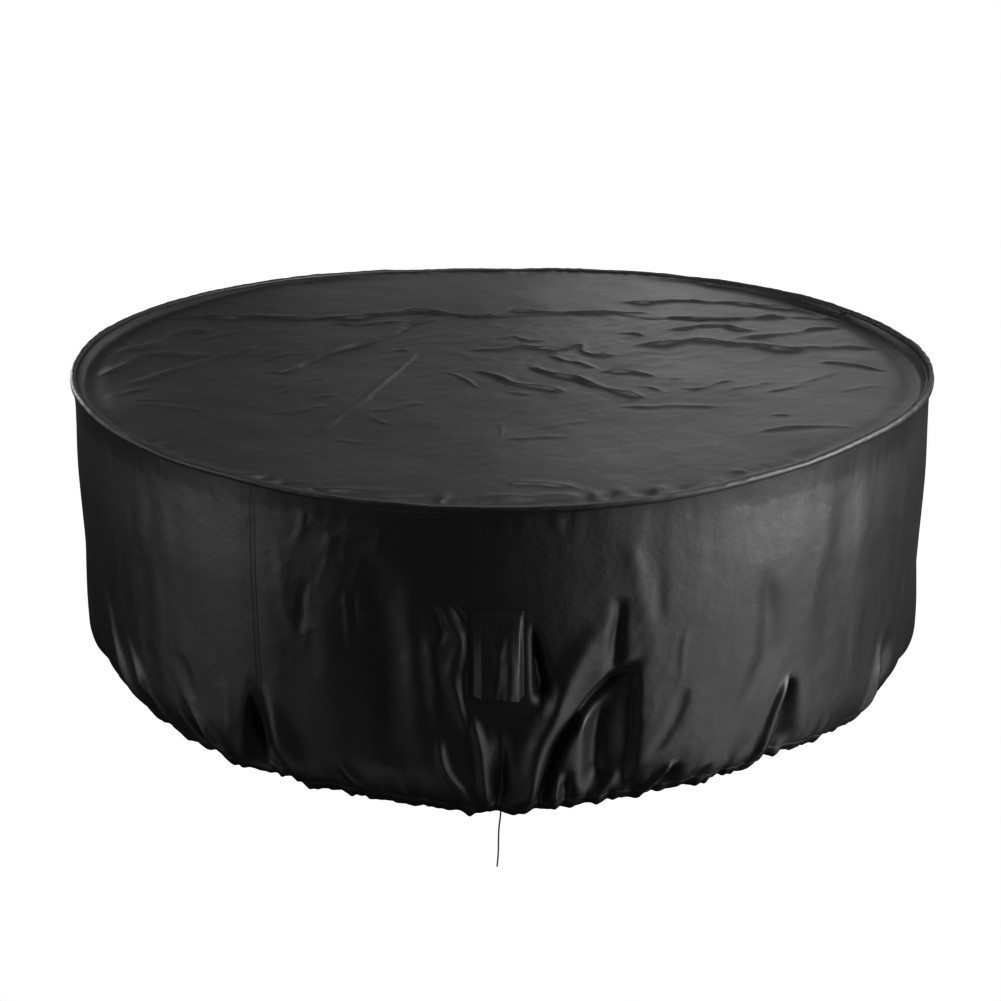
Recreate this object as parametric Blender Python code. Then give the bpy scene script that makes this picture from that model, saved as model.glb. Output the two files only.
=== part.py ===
"""Round fitted cover for a patio set: a two-panel top, a piped rim, a gathered skirt, a vent hood and a cord tail.

Metres, +Z up, front towards -Y. The origin is on the underside of the top's centre, where the furniture
carries the cloth. Azimuths are in degrees from the front, growing towards +X. Depths are metres below the
plain rim line. Every cloth piece is a closed sheet: an outer face, an inner face and the edges between.
"""

import math
from collections import namedtuple

import bpy
from mathutils import Vector
from mathutils.geometry import delaunay_2d_cdt

# ---------------------------------------------------------------- driving sizes

RIM_RADIUS = 1.067            # 84 in across the rim
COVER_HEIGHT = 0.711          # 28 in from the plain rim line to the hem
CLOTH_WIDTH = 1.524           # the main top panel is one 60 in width of cloth
SEAM_ALLOWANCE = 0.010
CLOTH = 0.002                 # sheet thickness
HEM_THICKNESS = 0.006         # the turned hem with the drawstring's channel
SEAM_GAP = 0.0004             # clearance between two pieces that are sewn together
RIM_TOP = 0.020               # the plain rim line above the underside of the top's centre

PIPING_WIDTH = 0.014
PIPING_SIDES = 6
PIPING_STEP = 3.0             # degrees between the ring's stations, about
PIPING_RADIUS = RIM_RADIUS - PIPING_WIDTH / 2
TOP_RADIUS = RIM_RADIUS - PIPING_WIDTH - SEAM_GAP

FRONT_SEAM = -29.0            # azimuth of the skirt's seam left of the front
REAR_SEAM = 151.0
TOP_SEAM_Y = CLOTH_WIDTH - 2 * SEAM_ALLOWANCE - RIM_RADIUS

HOOD_WIDTH = 0.094
HOOD_TOP = 0.240              # depth of the hood's sewn top edge
HOOD_BOTTOM = 0.422
HOOD_STAND = 0.030            # how far its lower edge stands off the skirt
HOOD_CREASE = 0.006           # inward fold down its middle
HOOD_FLANGE = 0.007           # the strip by which it is sewn on
HOOD_AZIMUTH = -0.4

TAIL_DIAMETER = 0.003
TAIL_AZIMUTH = -0.17          # where it leaves the hem

# ---------------------------------------------------------------- folds of the skirt

# A fold runs from its upper end to its lower end, and bows sideways by `bow` degrees halfway. It widens from
# `narrow` to `wide` and stands out by `lift`, or in where lift is negative. One that ends at the hem stays
# open there. `lean` above 0 makes the side towards +azimuth the gentle one.
Fold = namedtuple("Fold", "top_az top_depth low_az low_depth bow narrow wide lift lean")
HEM = COVER_HEIGHT

FOLDS = [
    #    top_az depth  low_az depth   bow  narrow  wide   lift   lean
    Fold(-62.0, 0.380, -52.0, HEM,    0.0, 0.030, 0.040, +0.011, 0.0),
    Fold(-55.0, 0.470, -45.5, HEM,    0.0, 0.030, 0.045, +0.014, 0.0),
    Fold(-50.0, 0.560, -47.5, HEM,    0.0, 0.030, 0.045, -0.014, 0.0),
    Fold(-43.0, 0.550, -39.0, HEM,    0.0, 0.030, 0.055, -0.022, 0.3),
    Fold(-42.0, 0.555, -35.5, HEM,    0.5, 0.030, 0.045, +0.015, 0.0),
    Fold(-29.6, 0.450, -29.6, HEM,    0.3, 0.030, 0.085, -0.036, 0.2),
    Fold(-28.6, 0.450, -24.4, HEM,    0.3, 0.030, 0.060, +0.024, 0.0),
    Fold(-20.0, 0.240, -19.0, 0.640,  0.0, 0.060, 0.060, +0.008, 0.0),
    Fold(-19.0, 0.590, -15.0, HEM,    0.0, 0.030, 0.060, +0.014, 0.3),
    Fold(-13.2, 0.130, -12.4, 0.600,  0.0, 0.090, 0.100, -0.013, 0.0),
    Fold(-10.6, 0.180, -9.0,  0.660,  0.5, 0.045, 0.060, +0.013, 0.0),
    Fold(-7.2,  0.220, -6.8,  0.520,  0.0, 0.045, 0.050, -0.010, 0.0),
    Fold(-6.4,  0.220, -1.4,  HEM,   -0.9, 0.035, 0.045, +0.018, 0.0),
    Fold(-0.5,  0.470, -0.4,  HEM,    0.0, 0.030, 0.036, -0.020, 0.0),
    Fold(3.6,   0.270, 5.0,   0.480,  0.3, 0.035, 0.045, -0.015, 0.0),
    Fold(12.4,  0.220, 2.3,   HEM,   -1.6, 0.060, 0.050, +0.026, 0.0),
    Fold(13.4,  0.230, 12.4,  0.400,  0.0, 0.030, 0.035, -0.018, 0.0),
    Fold(15.8,  0.340, 5.4,   0.560, -1.0, 0.030, 0.050, -0.034, 0.0),
    Fold(6.4,   0.500, 3.9,   HEM,   -0.3, 0.045, 0.036, -0.030, 0.0),
    Fold(15.2,  0.350, 13.6,  0.690,  0.0, 0.035, 0.050, -0.030, -0.3),
    Fold(9.8,   0.460, 9.3,   HEM,    0.0, 0.035, 0.045, +0.015, 0.0),
    Fold(6.4,   0.590, 5.4,   HEM,    0.0, 0.030, 0.030, +0.015, 0.0),
    Fold(7.3,   0.580, 7.2,   HEM,    0.0, 0.030, 0.032, -0.016, 0.0),
    Fold(14.0,  0.610, 11.2,  HEM,    0.0, 0.030, 0.035, +0.013, 0.0),
    Fold(19.4,  0.600, 18.0,  HEM,    0.0, 0.030, 0.036, -0.018, 0.0),
    Fold(24.0,  0.630, 22.6,  HEM,    0.0, 0.030, 0.036, -0.014, 0.0),
    Fold(32.2,  0.180, 28.2,  0.690,  0.6, 0.090, 0.080, -0.016, 0.0),
    Fold(34.6,  0.470, 31.8,  HEM,    0.0, 0.030, 0.045, +0.020, 0.0),
    Fold(35.8,  0.480, 36.2,  HEM,    0.0, 0.030, 0.075, -0.032, 0.3),
    Fold(44.0,  0.040, 41.5,  0.440,  0.0, 0.090, 0.100, -0.009, 0.0),
    Fold(50.6,  0.040, 48.2,  0.460,  0.0, 0.060, 0.060, +0.009, 0.0),
    Fold(55.8,  0.450, 53.2,  HEM,    0.0, 0.030, 0.036, +0.014, 0.0),
    Fold(57.6,  0.480, 57.4,  HEM,    0.0, 0.036, 0.080, -0.030, 0.3),
    # the sides and the back
    Fold(68.0,  0.300, 71.0,  HEM,    0.0, 0.070, 0.080, +0.014, 0.0),
    Fold(82.0,  0.420, 79.0,  HEM,    0.0, 0.060, 0.090, -0.022, 0.0),
    Fold(96.0,  0.160, 93.0,  0.660,  0.5, 0.100, 0.100, -0.010, 0.0),
    Fold(107.0, 0.400, 111.0, HEM,    0.0, 0.060, 0.090, -0.024, 0.0),
    Fold(122.0, 0.250, 119.0, HEM,   -0.5, 0.080, 0.090, +0.016, 0.0),
    Fold(134.0, 0.450, 138.0, HEM,    0.0, 0.060, 0.100, -0.026, 0.0),
    Fold(151.0, 0.380, 148.0, HEM,    0.0, 0.060, 0.080, +0.020, 0.0),
    Fold(163.0, 0.120, 160.0, 0.620,  0.0, 0.110, 0.110, -0.012, 0.0),
    Fold(176.0, 0.330, 172.0, HEM,    0.8, 0.070, 0.090, +0.018, 0.0),
    Fold(188.0, 0.480, 191.0, HEM,    0.0, 0.060, 0.100, -0.028, 0.0),
    Fold(203.0, 0.220, 207.0, HEM,    0.0, 0.090, 0.090, +0.014, 0.0),
    Fold(219.0, 0.430, 216.0, HEM,    0.0, 0.060, 0.090, -0.024, 0.0),
    Fold(233.0, 0.140, 230.0, 0.600,  0.6, 0.110, 0.100, +0.012, 0.0),
    Fold(246.0, 0.400, 249.0, HEM,    0.0, 0.060, 0.090, -0.026, 0.0),
    Fold(259.0, 0.300, 262.0, HEM,    0.0, 0.080, 0.080, +0.016, 0.0),
    Fold(273.0, 0.470, 276.0, HEM,    0.0, 0.060, 0.090, -0.022, 0.0),
    Fold(287.0, 0.350, 291.0, HEM,    0.0, 0.070, 0.070, +0.013, 0.0),
]

HEM_HOLD = 0.60               # share of a fold that the drawstring holds back at the hem
HEM_HOLD_START = 0.640

# How far the hem hangs below its plain line, or above it where negative, by azimuth.
Drop = namedtuple("Drop", "azimuth drop")
HEM_DROPS = [
    Drop(-150, 0.000), Drop(-100, 0.000), Drop(-66, -0.005), Drop(-52, -0.009), Drop(-42, 0.000),
    Drop(-30, +0.008), Drop(-20, 0.001), Drop(-12, +0.007), Drop(-2, +0.019), Drop(6, +0.012),
    Drop(14, 0.000), Drop(24, -0.003), Drop(36, -0.008), Drop(44, +0.004), Drop(56, +0.016),
    Drop(66, +0.010), Drop(80, 0.000), Drop(120, 0.000), Drop(165, +0.004),
]
DROP_START = 0.350            # depth at which the cloth starts to give to them

# Unevenness that runs round the cover: how many waves in a round, how far they stand, and their phase.
Wave = namedtuple("Wave", "count lift phase")
RIM_WAVES = [Wave(9, 0.0006, 0.6), Wave(23, 0.0005, 2.0)]
GATHERS = [Wave(61, 0.0030, 0.4), Wave(97, 0.0024, 2.1), Wave(143, 0.0018, 4.4)]
HEM_RIPPLES = [Wave(53, 0.0022, 1.3), Wave(89, 0.0018, 3.7)]
GATHER_REACH = 0.060          # how far above the hem the drawstring's gathers die out

# ---------------------------------------------------------------- line of the rim

# The rim stands higher at the sides than at the front and back. Each row gives the height of the piping's upper
# line above the origin, how tall the piping is there, and how far the top lies below it just inside.
Rim = namedtuple("Rim", "azimuth top tall lip")
RIM = [
    Rim(-165, 0.003, 0.014, 0.002), Rim(-150, 0.014, 0.014, 0.006), Rim(-135, 0.024, 0.014, 0.010),
    Rim(-120, 0.030, 0.016, 0.016), Rim(-105, 0.035, 0.018, 0.018), Rim(-90, 0.038, 0.020, 0.018),
    Rim(-75, 0.035, 0.020, 0.016), Rim(-60, 0.034, 0.015, 0.010), Rim(-45, 0.027, 0.014, 0.005),
    Rim(-30, 0.021, 0.014, 0.003), Rim(-20, 0.015, 0.015, 0.001), Rim(-8, 0.012, 0.016, 0.000),
    Rim(8, 0.012, 0.016, 0.000), Rim(18, 0.016, 0.015, 0.002), Rim(27, 0.024, 0.014, 0.004),
    Rim(36, 0.032, 0.014, 0.006), Rim(46, 0.040, 0.015, 0.009), Rim(57, 0.045, 0.022, 0.013),
    Rim(68, 0.044, 0.027, 0.018), Rim(80, 0.038, 0.027, 0.022), Rim(95, 0.031, 0.024, 0.022),
    Rim(110, 0.025, 0.020, 0.018), Rim(130, 0.020, 0.016, 0.014), Rim(150, 0.011, 0.014, 0.006),
    Rim(165, 0.003, 0.014, 0.001), Rim(180, -0.002, 0.014, 0.000),
]
RISE_START = 0.62             # radius at which the top starts to follow the rim's heights
RISE_REACH = 0.40

# How the top's seam wanders from its straight line.
SeamShift = namedtuple("SeamShift", "x shift")
SEAM_SHIFTS = [
    SeamShift(-0.970, -0.050), SeamShift(-0.840, -0.030), SeamShift(-0.645, -0.022), SeamShift(-0.460, -0.012),
    SeamShift(-0.355, +0.018), SeamShift(-0.250, +0.040), SeamShift(-0.170, +0.036), SeamShift(-0.100, 0.000),
    SeamShift(0.000, -0.006), SeamShift(0.130, +0.018), SeamShift(0.310, +0.028), SeamShift(0.420, -0.016),
    SeamShift(0.600, -0.026), SeamShift(0.710, -0.006), SeamShift(0.800, +0.004), SeamShift(0.970, 0.000),
]

# ---------------------------------------------------------------- creases of the top

Crease = namedtuple("Crease", "x0 y0 x1 y1 bow width lift")
CREASES = [
    #       x0     y0      x1     y1      bow    width  lift
    Crease(-0.13,  0.42,  -0.58, -0.11,  -0.01,  0.070, 0.009),
    Crease(-0.67,  0.08,  -1.00, -0.25,  +0.01,  0.070, 0.008),
    Crease(-0.78,  0.25,  -1.00, -0.08,  +0.02,  0.070, 0.006),
    Crease(-0.22,  0.07,  -0.42, -0.60,  +0.01,  0.080, 0.006),
    Crease(-0.08, -0.12,   0.15, -0.30,  +0.01,  0.070, 0.009),
    Crease(+0.07, -0.03,   0.36, -0.35,  -0.02,  0.070, 0.011),
    Crease(+0.24, -0.15,   0.41, -0.16,  +0.01,  0.060, 0.007),
    Crease(-0.08,  0.06,   0.23,  0.07,  +0.01,  0.060, 0.006),
    Crease(+0.40,  0.11,   0.96,  0.25,  -0.02,  0.080, 0.008),
    Crease(+0.34,  0.57,   0.98,  0.36,  +0.04,  0.080, 0.008),
    Crease(+0.50,  0.28,   0.70,  0.26,  +0.02,  0.060, 0.006),
    Crease(+0.80, -0.01,   1.00, -0.11,  +0.00,  0.070, 0.006),
    Crease(+0.08, -0.93,   0.22, -0.96,  +0.00,  0.050, 0.006),
    Crease(-0.94,  0.38,  -0.12,  0.46,  +0.01,  0.080, 0.006),
]

# Broad soft rises where the furniture pushes up: centre, radius and height.
Swell = namedtuple("Swell", "x y radius rise")
SWELLS = [
    Swell(0.00, -0.95, 0.45, 0.004),
    Swell(0.62, -0.30, 0.35, 0.005),
    Swell(-0.60, -0.35, 0.40, 0.004),
    Swell(0.05, 0.72, 0.40, 0.005),
]
LIP_REACH = 0.045             # how far in from the piping the cloth starts to climb its lip

# ---------------------------------------------------------------- the skirt's plain wall

UNDERCUT = 0.004              # how far the wall falls in just under the piping
BULGE = 0.009                 # and comes out again lower down
DRAW_IN = 0.053               # how far the drawstring pulls in the hem
DRAW_START = 0.575            # depth at which that starts

# The cord's route from where it leaves the hem: to the side, to the back, and down.
TailPoint = namedtuple("TailPoint", "x y drop")
TAIL_ROUTE = [
    TailPoint(0.0000, 0.0000, 0.000),
    TailPoint(-0.0003, -0.0003, 0.010),
    TailPoint(-0.0012, -0.0008, 0.020),
    TailPoint(-0.0024, -0.0013, 0.030),
    TailPoint(-0.0034, -0.0015, 0.040),
    TailPoint(-0.0041, -0.0014, 0.050),
    TailPoint(-0.0045, -0.0010, 0.060),
    TailPoint(-0.0047, -0.0005, 0.070),
    TailPoint(-0.0048, 0.0002, 0.080),
    TailPoint(-0.0049, 0.0008, 0.090),
    TailPoint(-0.0051, 0.0012, 0.100),
    TailPoint(-0.0055, 0.0014, 0.110),
    TailPoint(-0.0061, 0.0013, 0.120),
    TailPoint(-0.0069, 0.0010, 0.130),
    TailPoint(-0.0079, 0.0006, 0.140),
]

# ---------------------------------------------------------------- resolution

# Degrees between the skirt's columns, up to each reach from the front: close together where most folds are.
ColumnStep = namedtuple("ColumnStep", "reach step")
COLUMN_STEPS = [ColumnStep(20, 0.8), ColumnStep(45, 1.2), ColumnStep(75, 2.0), ColumnStep(181, 3.4)]
SKIRT_DEPTHS = [0.055, 0.140, 0.225, 0.305, 0.375, 0.440, 0.505, 0.565, 0.618, 0.658, 0.686, HEM]
TOP_PITCH = 0.105             # spacing of the points inside the top panels
TAIL_STEP = 0.007

# ---------------------------------------------------------------- small helpers


def smooth(t):
    """0 below 0, 1 above 1, and an even S between."""
    t = min(max(t, 0.0), 1.0)
    return t * t * (3 - 2 * t)


def around(azimuth, radius):
    """x and y at an azimuth from the front."""
    a = math.radians(azimuth)
    return radius * math.sin(a), -radius * math.cos(a)


def turn_between(azimuth, other):
    """Signed difference of two azimuths, in degrees."""
    return (azimuth - other + 180.0) % 360.0 - 180.0


def round_waves(waves, azimuth):
    """Sum of the waves round the cover at an azimuth."""
    a = math.radians(azimuth)
    return sum(wave.lift * math.sin(wave.count * a + wave.phase) for wave in waves)


def round_table(rows, azimuth, value):
    """What `value` reads from the rows at an azimuth, on a smooth closed curve through them."""
    here = rows[0].azimuth + (azimuth - rows[0].azimuth) % 360.0
    k = sum(row.azimuth <= here for row in rows) - 1
    near = []
    for i in (k - 1, k, k + 1, k + 2):
        turns, i = divmod(i, len(rows))
        near.append((rows[i].azimuth + 360.0 * turns, value(rows[i])))
    (a0, v0), (a1, v1), (a2, v2), (a3, v3) = near
    t = (here - a1) / (a2 - a1)
    first, last = (v2 - v0) / (a2 - a0) * (a2 - a1), (v3 - v1) / (a3 - a1) * (a2 - a1)
    bend = t * (1 - t) ** 2 * first + t * t * (t - 1) * last
    return (1 + 2 * t) * (1 - t) ** 2 * v1 + t * t * (3 - 2 * t) * v2 + bend


def fabric(name, grey, roughness):
    material = bpy.data.materials.new(name)
    material.use_nodes = True
    shader = material.node_tree.nodes["Principled BSDF"]
    shader.inputs["Base Color"].default_value = (grey, grey, grey, 1)
    shader.inputs["Roughness"].default_value = roughness
    shader.inputs["Metallic"].default_value = 0.0
    return material


def halves(face, points):
    """A face of four corners as two triangles, split along its shorter diagonal."""
    if len(face) == 3:
        return [face]
    a, b, c, d = face
    if (Vector(points[a]) - Vector(points[c])).length <= (Vector(points[b]) - Vector(points[d])).length:
        return [[a, b, c], [a, c, d]]
    return [[a, b, d], [b, c, d]]


def sheet(name, faces, outer, inner, material):
    """A closed sheet from matching outer and inner points, with walls along its free edges.

    Both sides are split along the same diagonals, so that the thin walls never cross.
    """
    count = len(outer)
    faces = [half for face in faces for half in halves(face, outer)]
    rims = {}
    for face in faces:
        for a, b in zip(face, face[1:] + face[:1]):
            rims[(a, b)] = True
    all_faces = [tuple(face) for face in faces]
    all_faces += [tuple(count + i for i in reversed(face)) for face in faces]
    all_faces += [(b, a, count + a, count + b) for a, b in rims if (b, a) not in rims]
    mesh = bpy.data.meshes.new(name)
    mesh.from_pydata([tuple(p) for p in outer] + [tuple(p) for p in inner], [], all_faces)
    mesh.shade_smooth()
    mesh.set_sharp_from_angle(angle=math.radians(50))
    mesh.materials.append(material)
    piece = bpy.data.objects.new(name, mesh)
    bpy.context.collection.objects.link(piece)
    return piece


# ---------------------------------------------------------------- rim


def piping_height(azimuth):
    return round_table(RIM, azimuth, lambda row: row.tall)


def rim_line(azimuth):
    """Height of the piping's centre."""
    upper = round_table(RIM, azimuth, lambda row: row.top) + round_waves(RIM_WAVES, azimuth)
    return upper - piping_height(azimuth) / 2


def rim_stations(start, end):
    """Azimuths that divide an arc of the rim into near equal steps."""
    steps = round((end - start) / PIPING_STEP)
    return [start + (end - start) * i / steps for i in range(steps + 1)]


SEAM_LEFT, SEAM_RIGHT = (
    side * math.degrees(math.acos(-(TOP_SEAM_Y + row.shift) / TOP_RADIUS))
    for side, row in ((-1, SEAM_SHIFTS[0]), (1, SEAM_SHIFTS[-1]))
)
FRONT_ARC = rim_stations(SEAM_LEFT, SEAM_RIGHT)
REAR_ARC = rim_stations(SEAM_RIGHT, 360.0 + SEAM_LEFT)


def rim_piping(material):
    """A ring with an upright section, stationed where the top's edge has its points."""
    stations = FRONT_ARC[:-1] + REAR_ARC[:-1]
    points, faces = [], []
    for azimuth in stations:
        for i in range(PIPING_SIDES):
            turn = 2 * math.pi * i / PIPING_SIDES
            x, y = around(azimuth, PIPING_RADIUS + PIPING_WIDTH / 2 * math.sin(turn) / math.sin(math.pi / 3))
            points.append((x, y, rim_line(azimuth) + piping_height(azimuth) / 2 * math.cos(turn)))
    for k in range(len(stations)):
        here, there = k * PIPING_SIDES, (k + 1) % len(stations) * PIPING_SIDES
        for i in range(PIPING_SIDES):
            j = (i + 1) % PIPING_SIDES
            faces.append((here + i, here + j, there + j, there + i))
    mesh = bpy.data.meshes.new("rim_piping")
    mesh.from_pydata(points, [], faces)
    mesh.shade_smooth()
    mesh.materials.append(material)
    piece = bpy.data.objects.new("rim_piping", mesh)
    bpy.context.collection.objects.link(piece)
    return piece


# ---------------------------------------------------------------- top


def crease_rise(crease, x, y):
    """Height that one crease adds at a point of the top."""
    run_x, run_y = crease.x1 - crease.x0, crease.y1 - crease.y0
    length = math.hypot(run_x, run_y)
    along = ((x - crease.x0) * run_x + (y - crease.y0) * run_y) / length**2
    if not 0 < along < 1:
        return 0.0
    across = ((x - crease.x0) * run_y - (y - crease.y0) * run_x) / length
    across -= crease.bow * 4 * along * (1 - along)
    return crease.lift * math.sin(math.pi * along) ** 0.6 * math.exp(-((2 * across / crease.width) ** 2))


def top_underside(x, y):
    """Height of the top's underside."""
    rise = sum(crease_rise(crease, x, y) for crease in CREASES)
    for swell in SWELLS:
        away = math.hypot(x - swell.x, y - swell.y) / swell.radius
        rise += swell.rise * smooth(1 - away)
    azimuth, radius = math.degrees(math.atan2(x, -y)), math.hypot(x, y)
    sewn_edge = rim_line(azimuth) - CLOTH / 2
    # the top follows the rim's heights from well inside, and climbs the lip close to the piping
    beside_lip = sewn_edge - round_table(RIM, azimuth, lambda row: row.lip)
    rise += beside_lip * smooth((radius - RISE_START) / RISE_REACH)
    climb = smooth((radius - (TOP_RADIUS - LIP_REACH)) / (LIP_REACH - SEAM_ALLOWANCE / 2))
    return rise + (sewn_edge - rise) * climb


def seam_line(x):
    """How far back the top's seam lies at an x."""
    k = sum(row.x <= x for row in SEAM_SHIFTS[1:-1])
    before, after = SEAM_SHIFTS[k], SEAM_SHIFTS[k + 1]
    share = smooth((x - before.x) / (after.x - before.x))
    return TOP_SEAM_Y + before.shift + (after.shift - before.shift) * share


def seam_points(side):
    """Points along the seam of the top, from left to right, on one side of its gap."""
    left, right = (around(azimuth, TOP_RADIUS)[0] for azimuth in (SEAM_LEFT, SEAM_RIGHT))
    steps = round((right - left) / (TOP_PITCH * 0.6))
    xs = [left + (right - left) * i / steps for i in range(steps + 1)]
    return [(x, seam_line(x) + side * SEAM_GAP / 2) for x in xs]


def top_panel(name, arc, side, material):
    """One panel of the top: its arc of the rim, its side of the seam, and points inside."""
    outline = [Vector(around(azimuth, TOP_RADIUS)) for azimuth in arc]
    seam = [Vector(p) for p in seam_points(side)]
    if side < 0:
        seam.reverse()
    # the seam's own end points take the place of the arc's ends, clear of the other panel
    outline = [seam[-1]] + outline[1:-1] + seam[:1] + seam[1:-1]
    inside = []
    for ring, radius in enumerate((TOP_RADIUS - 0.022, TOP_RADIUS - LIP_REACH)):
        inside += [Vector(around(azimuth, radius)) for azimuth in arc[1 + ring:-1:2]]
    rows = int(RIM_RADIUS / (TOP_PITCH * 0.866)) + 1
    for row in range(-rows, rows + 1):
        for column in range(-rows, rows + 1):
            x = (column + 0.5 * (row % 2)) * TOP_PITCH
            y = row * TOP_PITCH * 0.866
            if math.hypot(x, y) < TOP_RADIUS - LIP_REACH - 0.03:
                inside.append(Vector((x, y)))
    for crease in CREASES:
        run = Vector((crease.x1 - crease.x0, crease.y1 - crease.y0))
        steps = max(3, round(run.length / 0.07))
        sideways = Vector((run.y, -run.x)).normalized()
        ridge = []
        for i in range(steps + 1):
            along = i / steps
            centre = Vector((crease.x0, crease.y0)) + run * along
            centre += sideways * crease.bow * 4 * along * (1 - along)
            ridge += [centre] + [centre + sideways * offset * crease.width for offset in (-0.75, 0.75)]
        inside = [p for p in inside if all((p - q).length > 0.034 for q in ridge)] + ridge
    # points of the other panel, or too near this one's edge, are left out
    inside = [p for p in inside if (p.y - seam_line(p.x)) * side > 0.030 and p.length < TOP_RADIUS - 0.015]
    kept = []
    for p in inside:
        if all((p - q).length > 0.024 for q in kept):
            kept.append(p)
    flat, _, faces, *_ = delaunay_2d_cdt(outline + kept, [], [list(range(len(outline)))], 1, 1e-6)
    under = [(p.x, p.y, top_underside(p.x, p.y)) for p in flat]
    upper = [(x, y, z + CLOTH) for x, y, z in under]
    return sheet(name, [list(face) for face in faces], upper, under, material)


# ---------------------------------------------------------------- skirt


def wall_profile(depth):
    """Radius of the skirt's outer face at a depth, with no folds: near upright, drawn in at the hem."""
    below_rim = PIPING_RADIUS + CLOTH / 2
    upright = below_rim - UNDERCUT * smooth(depth / 0.04) + BULGE * smooth((depth - 0.03) / 0.22)
    drawn = max(0.0, (depth - DRAW_START) / (HEM - DRAW_START))
    return upright - DRAW_IN * drawn**2.2


def profile_normal(depth):
    """Outward direction of the plain wall, as its radial and upward parts."""
    step = 0.002
    slope = (wall_profile(depth + step) - wall_profile(depth - step)) / (2 * step)
    length = math.hypot(1.0, slope)
    return 1.0 / length, slope / length


def fold_lift(fold, azimuth, depth):
    """How far one fold moves the cloth outwards at a point of the skirt."""
    along = (depth - fold.top_depth) / (fold.low_depth - fold.top_depth)
    open_end = fold.low_depth >= HEM
    if along <= 0 or (along >= 1 and not open_end):
        return 0.0
    centre = fold.top_az + (fold.low_az - fold.top_az) * along + fold.bow * 4 * along * (1 - along)
    across = math.radians(turn_between(azimuth, centre)) * RIM_RADIUS
    width = fold.narrow + (fold.wide - fold.narrow) * along
    width *= 1 + fold.lean if across > 0 else 1 - fold.lean
    height = smooth(along * 1.6) if open_end else math.sin(math.pi * along) ** 0.7
    height *= 1 - HEM_HOLD * smooth((depth - HEM_HOLD_START) / (HEM - HEM_HOLD_START))
    return fold.lift * height * math.exp(-((2 * across / width) ** 2))


def beside_hood(azimuth, depth):
    """0 on the plain patch that the hood is sewn to, and 1 clear of it."""
    off_side = (abs(turn_between(azimuth, HOOD_AZIMUTH)) - 3.35) / 0.8
    off_end = max(HOOD_TOP - 0.03 - depth, depth - HOOD_BOTTOM - 0.03) / 0.03
    return max(smooth(off_side), smooth(off_end))


def beside_tail(azimuth):
    """0 where the cord leaves the hem, and 1 clear of it."""
    return smooth((abs(turn_between(azimuth, TAIL_AZIMUTH)) - 0.9) / 0.8)


def skirt_offset(azimuth, depth):
    """Outward offset of the cloth from the plain wall."""
    offset = sum(fold_lift(fold, azimuth, depth) for fold in FOLDS)
    near_hem = math.exp(-(((HEM - depth) / GATHER_REACH) ** 2))
    offset += near_hem * round_waves(GATHERS, azimuth) * beside_tail(azimuth)
    return offset * beside_hood(azimuth, depth)


def skirt_point(azimuth, depth, sink=0.0):
    """A point of the skirt's outer face, or one sunk below it by some thickness."""
    out, up = profile_normal(depth)
    offset = skirt_offset(azimuth, depth) - sink
    x, y = around(azimuth, wall_profile(depth) + out * offset)
    near_hem = smooth((depth - HEM + GATHER_REACH) / GATHER_REACH)
    lowered = depth - near_hem * round_waves(HEM_RIPPLES, azimuth) * beside_tail(azimuth)
    drop = round_table(HEM_DROPS, azimuth, lambda row: row.drop)
    lowered += drop * smooth((depth - DROP_START) / (HEM - DROP_START))
    return Vector((x, y, RIM_TOP - lowered + up * offset))


def skirt_columns(start, end):
    """Azimuths of a panel's columns: close together at the front, wider round the back."""
    azimuths = [start]
    while azimuths[-1] < end:
        here = abs(turn_between(azimuths[-1], 0.0))
        step = next(row.step for row in COLUMN_STEPS if here < row.reach)
        azimuths.append(azimuths[-1] + step)
    spare = azimuths.pop() - end
    if spare > 0.5 * step:
        azimuths.pop()
    return azimuths + [end]


def skirt_panel(name, start, end, material):
    """One panel of the skirt, from its edge under the piping down to the turned hem."""
    inset = math.degrees(SEAM_GAP / 2 / PIPING_RADIUS)
    columns = skirt_columns(start + inset, end - inset)
    outer, inner, faces = [], [], []
    for azimuth in columns:
        edge = rim_line(azimuth) - piping_height(azimuth) / 2 - SEAM_GAP
        for radius, side in ((PIPING_RADIUS + CLOTH / 2, outer), (PIPING_RADIUS - CLOTH / 2, inner)):
            side.append((*around(azimuth, radius), edge))
        for depth in SKIRT_DEPTHS:
            in_hem = depth > HEM - 0.030
            outer.append(skirt_point(azimuth, depth))
            inner.append(skirt_point(azimuth, depth, HEM_THICKNESS if in_hem else CLOTH))
    rows = len(SKIRT_DEPTHS) + 1
    for column in range(len(columns) - 1):
        for row in range(rows - 1):
            here = column * rows + row
            faces.append([here, here + 1, here + rows + 1, here + rows])
    return sheet(name, faces, outer, inner, material)


# ---------------------------------------------------------------- vent hood


def hood_section(share):
    """The hood's outer line across at a share of its height: sideways place and distance off the skirt."""
    flat = SEAM_GAP + CLOTH
    stand = flat + (HOOD_STAND - flat) * smooth(0.15 + 0.85 * share) if share > 0 else flat
    half = HOOD_WIDTH / 2 - 0.003 - 0.002 * share
    root = HOOD_WIDTH / 2 + 0.002 + 0.002 * share
    crease = HOOD_CREASE * smooth(share * 2) * (1 if share > 0 else 0)
    side = [(root + HOOD_FLANGE, flat), (root, flat), (half, stand - 0.002 * share), (half * 0.5, stand)]
    return [(-s, d) for s, d in side] + [(0.0, stand - crease)] + side[::-1]


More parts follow.
